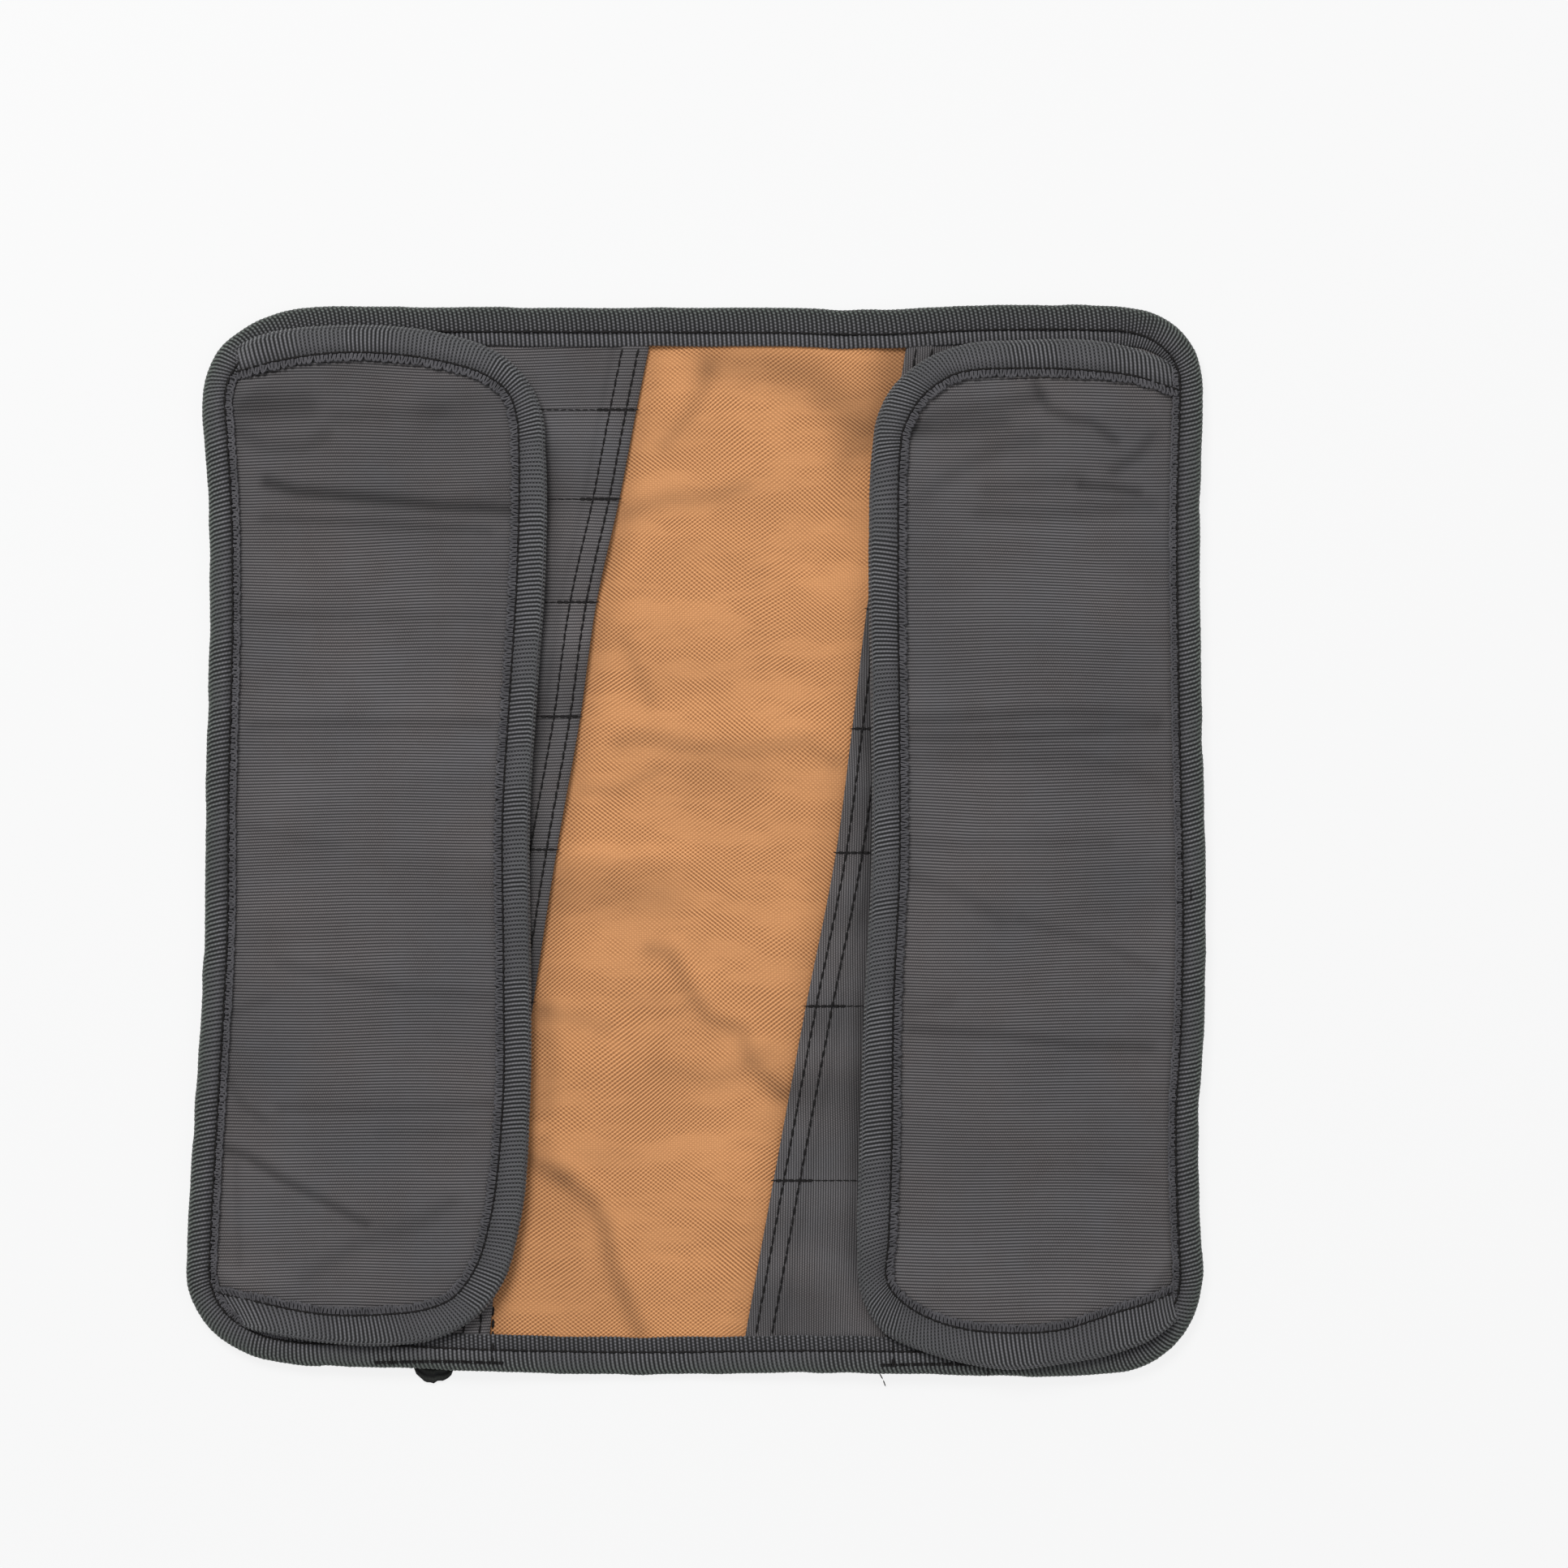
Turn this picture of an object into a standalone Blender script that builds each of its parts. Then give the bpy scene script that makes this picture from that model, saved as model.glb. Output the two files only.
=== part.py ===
"""Tool roll lying open on its back, both side flaps folded in over two facing rows of pockets. Metres, Z up."""

import bpy
import numpy as np
from mathutils import Vector
from mathutils.geometry import delaunay_2d_cdt

# Overall sizes of the body, with the flaps folded in.
BODY_WIDTH = 0.3494
BODY_LENGTH = 0.3675

# Thickness of each cloth and tape, and the clearance between two that lie on each other.
TAPE_THICKNESS = 0.0010
BASE_THICKNESS = 0.0010
POCKET_THICKNESS = 0.0010
FLAP_THICKNESS = 0.0010
STRAP_THICKNESS = 0.0010
CLEARANCE = 0.0003

# The tape folded over the edges: how far it reaches in on each side, and the roundness of its fold.
REACH_LEFT = 0.0086
REACH_RIGHT = 0.0103
REACH_TOP = 0.0130
REACH_BOTTOM = 0.0125
FOLD_RADIUS = 0.0017

# Straps on the back.
STRAP_WIDTH = 0.0380
STRAP_LENGTH = 0.3000
STRAP_LEFT_AT = 0.2510
STRAP_RIGHT_AT = 0.7363
STRAP_INSET = 0.0018
STRAP_END_WIDTH = 0.0145
STRAP_END_AT = 0.2427
STRAP_END_OUT = 0.0025

# How the cloth settles: the straps and the tape carry the pockets, the bare middle sinks to the floor between them,
# and each flap rises from under the side tape on to its own tape.
RIM_FLAT = 0.0190
RIM_RAMP = 0.0450
STRAP_RAMP = 0.0450
DIP_MARGIN = 0.0050
DIP_RAMP = 0.0250
FLAP_RISE_START = 0.0040
FLAP_RISE_RAMP = 0.0300
FLAP_HEM_MARGIN = 0.0030
FLAP_HEM_RAMP = 0.0114
FLAP_TUCK = 0.0060
FLAP_TUCK_RAMP = 0.0060
POCKET_PUFF = 0.0012
POCKET_PUFF_RAMP = 0.0600
MOUTH_RAMP = 0.0120
FOLD_FADE = 0.0100

# Spacing of the cloth's facets.
BASE_STEP = 0.0170
FLAP_STEP = 0.0140
POCKET_STEP = 0.0200
EDGE_STEP = 0.0120
FOLD_STEP = 0.0120
FINE_STEP = 0.0020
EDGE_TOLERANCE = 0.00020

# Corners of the body, anticlockwise: centre and radii as shares of the width and length, and the roundness power.
CORNERS = {
    # name: (centre_x, centre_y, radius_x, radius_y, power, first_angle)
    "bottom_right": (0.9029, 0.0961, 0.0947, 0.0938, 2.0, -90),
    "top_right": (0.9029, 0.9206, 0.0947, 0.0787, 2.2, 0),
    "top_left": (0.1519, 0.9054, 0.1368, 0.0938, 2.3, 90),
    "bottom_left": (0.1360, 0.1036, 0.1360, 0.0938, 2.3, 180),
}

# The bows of each edge between the corners, as shares of the width and length.
EDGES = {
    # name: rows of (x, y)
    "bottom": [(0.1997, 0.0083), (0.2951, 0.0045), (0.4383, 0.0015), (0.6134, 0.0034), (0.7725, 0.0015), (0.8361, 0.0)],
    "right": [(0.9944, 0.1641), (0.9932, 0.2474), (0.9976, 0.3154), (1.0, 0.4062), (0.9960, 0.6331), (0.9944, 0.8147)],
    "top": [(0.8520, 1.0), (0.7725, 0.9992), (0.6770, 0.9955), (0.5815, 0.9970), (0.3747, 0.9977), (0.1997, 0.9985)],
    "left": [(0.0215, 0.8147), (0.0231, 0.7239), (0.0191, 0.5424), (0.0175, 0.4062), (0.0095, 0.2700), (0.0040, 0.1793)],
}

# Each row of pockets from top to bottom: where a seam or an end crosses the mouth edge. The first and last are ends.
POCKETS_LEFT = [
    # (seam_y, mouth_x)
    (0.9622, 0.4543),
    (0.9017, 0.4415),
    (0.8185, 0.4248),
    (0.7224, 0.4025),
    (0.6157, 0.3866),
    (0.4917, 0.3636),
    (0.3495, 0.3405),
    (0.1868, 0.3142),
    (0.0371, 0.2975),
]
POCKETS_RIGHT = [
    # (seam_y, mouth_x)
    (0.9622, 0.7064),
    (0.9017, 0.6961),
    (0.8185, 0.6834),
    (0.7163, 0.6675),
    (0.6044, 0.6531),
    (0.4887, 0.6372),
    (0.3457, 0.6078),
    (0.1831, 0.5760),
    (0.0371, 0.5481),
]

# Sections across the tape of each flap, from its top end round to its bottom end.
TAPE_LEFT = [
    # (outer_x, outer_y, inner_x, inner_y)
    (0.0477, 0.9599, 0.0469, 0.9281),
    (0.0804, 0.9720, 0.0827, 0.9365),
    (0.1360, 0.9788, 0.1360, 0.9448),
    (0.2156, 0.9773, 0.2092, 0.9440),
    (0.2633, 0.9697, 0.2538, 0.9372),
    (0.3111, 0.9508, 0.2920, 0.9251),
    (0.3349, 0.9281, 0.3095, 0.9115),
    (0.3492, 0.8979, 0.3166, 0.8903),
    (0.3524, 0.8601, 0.3182, 0.8601),
    (0.3524, 0.7542, 0.3166, 0.7542),
    (0.3445, 0.6407, 0.3095, 0.6407),
    (0.3373, 0.5272, 0.3023, 0.5272),
    (0.3381, 0.3759, 0.3031, 0.3759),
    (0.3373, 0.2549, 0.3023, 0.2549),
    (0.3262, 0.1377, 0.2888, 0.1430),
    (0.3119, 0.0908, 0.2768, 0.1067),
    (0.2896, 0.0613, 0.2601, 0.0840),
    (0.2482, 0.0378, 0.2323, 0.0719),
    (0.2045, 0.0310, 0.1981, 0.0681),
    (0.1360, 0.0333, 0.1344, 0.0681),
    (0.0565, 0.0439, 0.0469, 0.0809),
]
TAPE_RIGHT = [
    # (outer_x, outer_y, inner_x, inner_y)
    (0.9642, 0.9463, 0.9682, 0.9130),
    (0.9316, 0.9576, 0.9316, 0.9236),
    (0.8886, 0.9652, 0.8886, 0.9289),
    (0.8154, 0.9652, 0.8154, 0.9312),
    (0.7621, 0.9614, 0.7669, 0.9289),
    (0.7184, 0.9440, 0.7422, 0.9191),
    (0.6889, 0.9168, 0.7232, 0.9024),
    (0.6770, 0.8911, 0.7120, 0.8820),
    (0.6730, 0.8631, 0.7088, 0.8631),
    (0.6698, 0.7799, 0.7064, 0.7693),
    (0.6722, 0.6089, 0.7080, 0.6089),
    (0.6722, 0.4705, 0.7080, 0.4705),
    (0.6659, 0.3548, 0.7025, 0.3548),
    (0.6603, 0.2012, 0.7001, 0.2012),
    (0.6587, 0.1188, 0.6969, 0.1263),
    (0.6627, 0.0772, 0.6937, 0.0976),
    (0.6858, 0.0416, 0.7049, 0.0794),
    (0.7168, 0.0272, 0.7247, 0.0666),
    (0.7621, 0.0144, 0.7621, 0.0545),
    (0.8075, 0.0083, 0.8075, 0.0507),
    (0.8536, 0.0129, 0.8536, 0.0530),
    (0.9141, 0.0242, 0.9141, 0.0703),
    (0.9451, 0.0356, 0.9435, 0.0787),
    (0.9690, 0.0507, 0.9674, 0.0877),
]

# Soft folds pressed into each cloth: both ends, half width as a share of the body width, height as shares of thickness.
FOLDS = {
    # cloth: rows of (from_x, from_y, to_x, to_y, half_width, height)
    "flap_left": [
        (0.0804, 0.8071, 0.2720, 0.8056, 0.0315, 1.5),
        (0.0565, 0.6142, 0.2600, 0.6029, 0.0372, 0.7),
        (0.0565, 0.5045, 0.2600, 0.5045, 0.0343, 0.6),
        (0.0565, 0.3646, 0.2600, 0.3646, 0.0343, 0.6),
        (0.0600, 0.2060, 0.1782, 0.1422, 0.0258, 1.1),
        (0.0600, 0.2700, 0.0732, 0.2436, 0.0172, 0.5),
    ],
    "flap_right": [
        (0.7570, 0.8840, 0.8123, 0.8940, 0.0258, 1.0),
        (0.8473, 0.8950, 0.9053, 0.8722, 0.0229, 0.8),
        (0.8839, 0.8260, 0.9450, 0.8260, 0.0258, 0.9),
        (0.7400, 0.6029, 0.9400, 0.6067, 0.0343, 1.0),
        (0.7400, 0.4516, 0.9400, 0.4516, 0.0315, 0.5),
        (0.7400, 0.3268, 0.9400, 0.3268, 0.0315, 0.5),
        (0.7400, 0.2209, 0.9400, 0.2209, 0.0315, 0.6),
    ],
    "base_panel": [
        (0.4800, 0.8336, 0.6200, 0.8298, 0.0458, 0.9),
        (0.4500, 0.5840, 0.5850, 0.5991, 0.0515, 1.1),
        (0.4100, 0.3911, 0.5400, 0.3540, 0.0515, 1.0),
        (0.3600, 0.2000, 0.3994, 0.1604, 0.0258, 0.9),
        (0.3994, 0.1604, 0.4200, 0.0900, 0.0258, 0.9),
    ],
}

COLOURS = {
    # material: (red, green, blue)
    "tan_cloth": (0.59, 0.29, 0.12),
    "grey_cloth": (0.088, 0.082, 0.088),
    "grey_tape": (0.065, 0.062, 0.067),
    "black_webbing": (0.030, 0.032, 0.028),
}

# Levels of the stack, from the floor up.
BASE_LEVEL = TAPE_THICKNESS + CLEARANCE
POCKET_LEVEL = BASE_LEVEL + BASE_THICKNESS + CLEARANCE
POCKET_HEIGHT = POCKET_THICKNESS + CLEARANCE
FLAP_LEVEL = POCKET_LEVEL + POCKET_HEIGHT
FLAP_HEIGHT = FLAP_THICKNESS + CLEARANCE
RIM_TOP = POCKET_LEVEL + TAPE_THICKNESS
FLAP_TAPE_LEVEL = RIM_TOP + POCKET_HEIGHT + CLEARANCE
HEM_LEVEL = FLAP_TAPE_LEVEL + TAPE_THICKNESS + CLEARANCE
FLAP_TAPE_TOP = HEM_LEVEL + FLAP_HEIGHT + TAPE_THICKNESS
STRAP_HEIGHT = STRAP_THICKNESS + CLEARANCE
EDGE_INSET = FOLD_RADIUS + CLEARANCE
RAMP_MARGIN = CLEARANCE + TAPE_THICKNESS


def place(shares):
    """Shares of the width and length, in columns x and y, as metres about the middle of the whole object."""
    size = np.array([BODY_WIDTH, BODY_LENGTH])
    return (np.asarray(shares, float) - 0.5) * size + np.array([0.0, STRAP_END_OUT / 2])


def ease(t):
    t = np.clip(t, 0.0, 1.0)
    return t * t * (3 - 2 * t)


def spline(points, step):
    """A smooth curve through rows of points, as rows about one step apart, with chord length as its parameter."""
    p = np.asarray(points, float)
    h = np.linalg.norm(np.diff(p, axis=0), axis=1)
    slope = np.diff(p, axis=0) / h[:, None]
    tangent = np.vstack([slope[:1], (slope[:-1] * h[1:, None] + slope[1:] * h[:-1, None]), slope[-1:]])
    tangent[1:-1] /= (h[:-1] + h[1:])[:, None]
    rows = []
    for i, length in enumerate(h):
        t = np.arange(max(1, round(length / step))) / max(1, round(length / step))
        t = t[:, None]
        a, b = (2 * t**3 - 3 * t**2 + 1), (t**3 - 2 * t**2 + t) * length
        c, d = (3 * t**2 - 2 * t**3), (t**3 - t**2) * length
        rows.append(a * p[i] + b * tangent[i] + c * p[i + 1] + d * tangent[i + 1])
    return np.vstack(rows + [p[-1:]])


def thin(points, tolerance, longest):
    """Indices of the points to keep, so that no dropped one is further than the tolerance from its chord."""
    keep = {0, len(points) - 1}
    spans = [(0, len(points) - 1)]
    while spans:
        a, b = spans.pop()
        if b - a < 2:
            continue
        chord = points[b] - points[a]
        length = np.linalg.norm(chord)
        between = points[a + 1 : b] - points[a]
        along = np.clip(between @ chord / max(length, 1e-12) ** 2, 0, 1)
        off = np.linalg.norm(between - along[:, None] * chord, axis=1)
        worst = int(np.argmax(off))
        if off[worst] <= tolerance and length <= longest:
            continue
        middle = a + 1 + worst if off[worst] > tolerance else (a + b) // 2
        keep.add(middle)
        spans += [(a, middle), (middle, b)]
    return sorted(keep)


def corner(name):
    cx, cy, rx, ry, power, first = CORNERS[name]
    angle = np.radians(first + np.linspace(0, 90, 33))
    x = cx + rx * np.sign(np.cos(angle)) * np.abs(np.cos(angle)) ** (2 / power)
    y = cy + ry * np.sign(np.sin(angle)) * np.abs(np.sin(angle)) ** (2 / power)
    return place(np.stack([x, y], axis=1))


def outline():
    """The body's outline, anticlockwise, as a closed row of points one fine step apart, and its inward normals."""
    order = [
        ("bottom_left", "bottom", "bottom_right"),
        ("bottom_right", "right", "top_right"),
        ("top_right", "top", "top_left"),
        ("top_left", "left", "bottom_left"),
    ]
    rows = []
    for before, edge, after in order:
        run = np.vstack([corner(before)[-1:], place(EDGES[edge]), corner(after)[:1]])
        rows += [spline(run, FINE_STEP)[:-1], spline(corner(after), FINE_STEP)[:-1]]
    points = np.vstack(rows)
    tangent = np.roll(points, -3, axis=0) - np.roll(points, 3, axis=0)
    tangent /= np.linalg.norm(tangent, axis=1)[:, None]
    return points, np.stack([-tangent[:, 1], tangent[:, 0]], axis=1)


RIM, RIM_NORMAL = outline()
MOUTH = {
    "left": spline(place([(x, y) for y, x in POCKETS_LEFT]), FINE_STEP),
    "right": spline(place([(x, y) for y, x in POCKETS_RIGHT]), FINE_STEP),
}
TAPES = {
    "left": np.hstack([place([row[:2] for row in TAPE_LEFT]), place([row[2:] for row in TAPE_LEFT])]),
    "right": np.hstack([place([row[:2] for row in TAPE_RIGHT]), place([row[2:] for row in TAPE_RIGHT])]),
}
SIGN = {"left": 1, "right": -1}


def rim_distance(x, y):
    at = np.stack([np.ravel(x), np.ravel(y)], axis=1)
    far = np.min(np.linalg.norm(at[:, None] - RIM[None], axis=2), axis=1)
    return far.reshape(np.shape(x))


def lift(x, y):
    """How much a strap sewn under the bottom rim raises everything above it, fading beside the strap and up the body."""
    foot = place([0.0, 0.0])[1]
    share = 0 * x
    for at in (STRAP_LEFT_AT, STRAP_RIGHT_AT):
        middle = place([at, 0.0])[0]
        share = np.maximum(share, 1 - ease((np.abs(x - middle) - STRAP_WIDTH / 2 - STRAP_INSET) / STRAP_RAMP))
    return STRAP_HEIGHT * share * (1 - ease((y - foot - RIM_FLAT) / RIM_RAMP))


def mouth_x(side, y):
    line = MOUTH[side][::-1]
    return np.interp(y, line[:, 1], line[:, 0])


def flap_ends(side):
    """The heights, in y, at which the inner edge of a flap's tape meets the side binding: top and bottom."""
    return TAPES[side][0, 3], TAPES[side][-1, 3]


def side_window(side, y, margin, ramp):
    """One between the two ends of a flap, falling to none over the ramp, starting a margin inside them."""
    top, bottom = flap_ends(side)
    return ease((top - margin - y) / ramp) * ease((y - bottom - margin) / ramp)


def pocket_share(x, y):
    left = ease((mouth_x("left", y) + RAMP_MARGIN + MOUTH_RAMP - x) / MOUTH_RAMP)
    right = ease((x - mouth_x("right", y) + RAMP_MARGIN + MOUTH_RAMP) / MOUTH_RAMP)
    return np.maximum(left, right)


def rim_stack(x, y):
    """How much the pockets and flaps inside the fold raise the upper leg of the body's tape."""
    ramp = FLAP_HEM_RAMP - 2 * RAMP_MARGIN
    flap = np.where(x < 0, side_window("left", y, RAMP_MARGIN, ramp), side_window("right", y, RAMP_MARGIN, ramp))
    return POCKET_HEIGHT * pocket_share(x, y) + FLAP_HEIGHT * flap


def folds(cloth, x, y, thickness):
    """Height of the cloth's own pressed folds: a rounded ridge about each line of the table."""
    height = 0 * x
    for from_x, from_y, to_x, to_y, half_width, rise in FOLDS[cloth]:
        a, b = place([from_x, from_y]), place([to_x, to_y])
        t = np.clip(((x - a[0]) * (b - a)[0] + (y - a[1]) * (b - a)[1]) / ((b - a) @ (b - a)), 0, 1)
        off = np.hypot(x - a[0] - t * (b - a)[0], y - a[1] - t * (b - a)[1]) / (half_width * BODY_WIDTH)
        height = np.maximum(height, rise * thickness * np.clip(1 - off**2, 0, 1) ** 2)
    return height


def dip(x, y):
    """One in the bare middle of the body, falling to none under the pockets and along the rim."""
    left = ease((x - mouth_x("left", y) - DIP_MARGIN) / DIP_RAMP)
    right = ease((mouth_x("right", y) - DIP_MARGIN - x) / DIP_RAMP)
    return left * right * ease((rim_distance(x, y) - RIM_FLAT) / RIM_RAMP)


def base_under(x, y):
    return BASE_LEVEL * (1 - dip(x, y)) + lift(x, y) + folds("base_panel", x, y, BASE_THICKNESS)


def pocket_under(side):
    seams = place([(x, y) for y, x in (POCKETS_LEFT if side == "left" else POCKETS_RIGHT)])[::-1, 1]

    def under(x, y):
        row = np.clip(np.searchsorted(seams, y) - 1, 0, len(seams) - 2)
        t = np.clip((y - seams[row]) / (seams[row + 1] - seams[row]), 0, 1)
        reach = (REACH_LEFT if side == "left" else REACH_RIGHT) + RIM_FLAT
        far = ease((rim_distance(x, y) - reach) / POCKET_PUFF_RAMP)
        return base_under(x, y) + BASE_THICKNESS + CLEARANCE + POCKET_PUFF * 4 * t * (1 - t) * far

    return under


def flap_under(side):
    inner = TAPES[side][0, 2]
    top, bottom = flap_ends(side)

    def under(x, y):
        from_side = ease((SIGN[side] * (x - inner) - FLAP_RISE_START) / FLAP_RISE_RAMP)
        into_top = ease((y - top + FLAP_HEM_RAMP) / (FLAP_HEM_RAMP - FLAP_HEM_MARGIN))
        into_bottom = ease((bottom + FLAP_HEM_RAMP - y) / (FLAP_HEM_RAMP - FLAP_HEM_MARGIN))
        rise = 1 - (1 - from_side) * (1 - into_top) * (1 - into_bottom)
        level = FLAP_LEVEL + rise * (HEM_LEVEL - FLAP_LEVEL)
        fade = ease(SIGN[side] * (x - inner) / FOLD_FADE)
        return level + lift(x, y) + fade * folds("flap_" + side, x, y, FLAP_THICKNESS)

    return under


def material(name):
    made = bpy.data.materials.get(name) or bpy.data.materials.new(name)
    made.use_nodes = True
    shader = made.node_tree.nodes["Principled BSDF"]
    shader.inputs["Base Color"].default_value = (*COLOURS[name], 1.0)
    shader.inputs["Roughness"].default_value = 0.9
    made.diffuse_color = (*COLOURS[name], 1.0)
    return made


def add_object(name, vertices, faces, material_name):
    mesh = bpy.data.meshes.new(name)
    mesh.from_pydata([tuple(map(float, v)) for v in vertices], [], [tuple(map(int, f)) for f in faces])
    mesh.validate()
    mesh.materials.append(material(material_name))
    mesh.shade_smooth()
    mesh.set_sharp_from_angle(angle=0.6)
    made = bpy.data.objects.new(name, mesh)
    bpy.context.scene.collection.objects.link(made)
    return made


def inside(loop, points):
    """Which points lie in the closed loop."""
    x, y = points[:, 0, None], points[:, 1, None]
    a, b = loop, np.roll(loop, -1, axis=0)
    crosses = (a[None, :, 1] > y) != (b[None, :, 1] > y)
    rise = np.where(b[:, 1] == a[:, 1], 1.0, b[:, 1] - a[:, 1])
    at = a[None, :, 0] + (y - a[None, :, 1]) * (b[None, :, 0] - a[None, :, 0]) / rise[None]
    return (crosses & (x < at)).sum(axis=1) % 2 == 1


def edge_distance(loop, points):
    a, b = loop[None], np.roll(loop, -1, axis=0)[None]
    p = points[:, None]
    t = np.clip(((p - a) * (b - a)).sum(2) / np.maximum(((b - a) ** 2).sum(2), 1e-18), 0, 1)
    return np.linalg.norm(p - a - t[..., None] * (b - a), axis=2).min(axis=1)


def fill(loop, groups):
    """Points inside the loop: each group is (points, own spacing), and a later one keeps clear of the earlier ones."""
    kept = np.empty((0, 2))
    for points, spacing in groups:
        if not len(points):
            continue
        points = points[inside(loop, points)]
        points = points[edge_distance(loop, points) > 0.45 * spacing]
        for point in points:
            if not len(kept) or np.min(np.linalg.norm(kept - point, axis=1)) > 0.55 * spacing:
                kept = np.vstack([kept, point])
    return kept


def lattice(step):
    half_x, half_y = np.ceil(BODY_WIDTH / 2 / step), np.ceil(BODY_LENGTH / 2 / step)
    xs, ys = np.arange(-half_x, half_x + 1) * step, np.arange(-half_y, half_y + 1) * step
    return np.array([(x, y) for y in ys for x in xs])


def fold_points(cloth):
    """Points along the crest and both feet of each fold, so that the facets follow it."""
    rows = []
    for from_x, from_y, to_x, to_y, half_width, rise in FOLDS[cloth]:
        a, b = place([from_x, from_y]), place([to_x, to_y])
        length = np.linalg.norm(b - a)
        along, wide = (b - a) / length, half_width * BODY_WIDTH
        across = np.array([-along[1], along[0]])
        for t in np.linspace(0, 1, max(2, round(length / FOLD_STEP) + 1)):
            rows += [a + t * (b - a) + across * wide * share for share in (0, -0.5, 0.5, -1, 1)]
        rows += [a - along * wide * 0.7, b + along * wide * 0.7]
    return np.array(rows)


def add_sheet(name, loop, spots, under, thickness, material_name):
    """A cloth of even thickness: the loop and the spots joined into triangles, lifted to the height of its underside."""
    flat = [Vector(p) for p in np.vstack([loop, spots])]
    found, _, triangles, *_ = delaunay_2d_cdt(flat, [], [list(range(len(loop)))], 1, 1e-7)
    xy = np.array([tuple(p) for p in found])
    low = under(xy[:, 0], xy[:, 1])
    count = len(xy)
    vertices = np.vstack([np.column_stack([xy, low]), np.column_stack([xy, low + thickness])])
    faces, edges = [], {}
    for triangle in triangles:
        a, b, c = (xy[i] for i in triangle[:3])
        area = (b[0] - a[0]) * (c[1] - a[1]) - (b[1] - a[1]) * (c[0] - a[0])
        ring = list(triangle) if area > 0 else list(triangle)[::-1]
        faces += [[i + count for i in ring], ring[::-1]]
        for i, j in zip(ring, ring[1:] + ring[:1]):
            edges[(i, j)] = True
    faces += [[i, j, j + count, i + count] for i, j in edges if (j, i) not in edges]
    return add_object(name, vertices, faces, material_name)


def fold_section(reach, low, high, radius):
    """Section of a tape folded over an edge: distance in from the fold, height, and whether it is in the upper leg."""
    thick = TAPE_THICKNESS
    turn = np.radians(np.linspace(0, 90, 3))
    bend = np.radians(np.linspace(0, 90, 2))
    hollow = radius - thick
    rows = [(reach, low, 0.0)]
    rows += [(radius - radius * np.sin(a), low + radius - radius * np.cos(a), 0.0) for a in turn]
    rows += [(radius - radius * np.cos(a), high - radius + radius * np.sin(a), 1.0) for a in turn]
    rows += [(reach, high, 1.0), (reach, high - thick, 1.0)]
    rows += [(radius - hollow * np.sin(a), high - radius + hollow * np.cos(a), 1.0) for a in bend]
    rows += [(radius - hollow * np.cos(a), low + radius - hollow * np.sin(a), 0.0) for a in bend]
    rows += [(reach, low + thick, 0.0)]
    return np.array(rows)


def add_sweep(name, rings, closed, material_name):
    """Joins rings of points, each of the same count, into one closed solid."""
    count, size = len(rings), len(rings[0])
    faces = []
    for i in range(count if closed else count - 1):
        a, b = i * size, (i + 1) % count * size
        faces += [[a + j, b + j, b + (j + 1) % size, a + (j + 1) % size] for j in range(size)]
    if not closed:
        faces += [list(range(size)), [(count - 1) * size + j for j in range(size)][::-1]]
    made = add_object(name, np.vstack(rings), faces, material_name)
    mesh = made.data
    points = np.array([v.co[:] for v in mesh.vertices])
    mesh.calc_loop_triangles()
    corners = points[np.array([t.vertices[:] for t in mesh.loop_triangles])]
    if np.linalg.det(corners).sum() < 0:
        mesh.flip_normals()
    return made


def rim_reach():
    """How far the body's tape reaches in at each point of the outline: by the side it faces, blended round corners."""
    facing = RIM_NORMAL**2
    across = np.where(RIM_NORMAL[:, 0] > 0, REACH_LEFT, REACH_RIGHT)
    along = np.where(RIM_NORMAL[:, 1] > 0, REACH_BOTTOM, REACH_TOP)
    return facing[:, 0] * across + facing[:, 1] * along


def build_body_binding():
    reach = rim_reach()
    tip = RIM + RIM_NORMAL * reach[:, None]
    feel = np.column_stack([RIM, rim_stack(*tip.T), lift(*RIM.T)])
    quarter = len(RIM) // 4
    kept = []
    for start, end in zip(range(0, 4 * quarter, quarter), (quarter, 2 * quarter, 3 * quarter, len(RIM))):
        span = np.vstack([feel[start:end], feel[end % len(RIM)]])
        kept += [start + i for i in thin(span, EDGE_TOLERANCE, 2 * POCKET_STEP)[:-1]]
    rings = []
    for i in kept:
        section = fold_section(reach[i], 0.0, BASE_LEVEL + BASE_THICKNESS + CLEARANCE + TAPE_THICKNESS, FOLD_RADIUS)
        xy = RIM[i] + section[:, :1] * RIM_NORMAL[i]
        x, y = xy.T
        rings.append(np.column_stack([xy, section[:, 1] + section[:, 2] * rim_stack(x, y) + lift(x, y)]))
    return add_sweep("body_binding", rings, True, "grey_tape")


def tape_sections(side):
    """The sections of a flap's tape, close together: outer point, unit direction in, and width."""
    rows = spline(TAPES[side], FINE_STEP)
    outer, across = rows[:, :2], rows[:, 2:] - rows[:, :2]
    width = np.linalg.norm(across, axis=1)
    return outer, across / width[:, None], width


def build_flap_binding(side):
    outer, inward, width = tape_sections(side)
    kept = thin(np.hstack([outer, outer + inward * width[:, None]]), EDGE_TOLERANCE, 2 * FLAP_STEP)
    rings = []
    for i in kept:
        section = fold_section(width[i], FLAP_TAPE_LEVEL, FLAP_TAPE_TOP, FOLD_RADIUS)
        xy = outer[i] + section[:, :1] * inward[i]
        x, y = xy.T
        rings.append(np.column_stack([xy, section[:, 1] + lift(x, y)]))
    return add_sweep("flap_binding_" + side, rings, False, "grey_tape")


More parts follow.
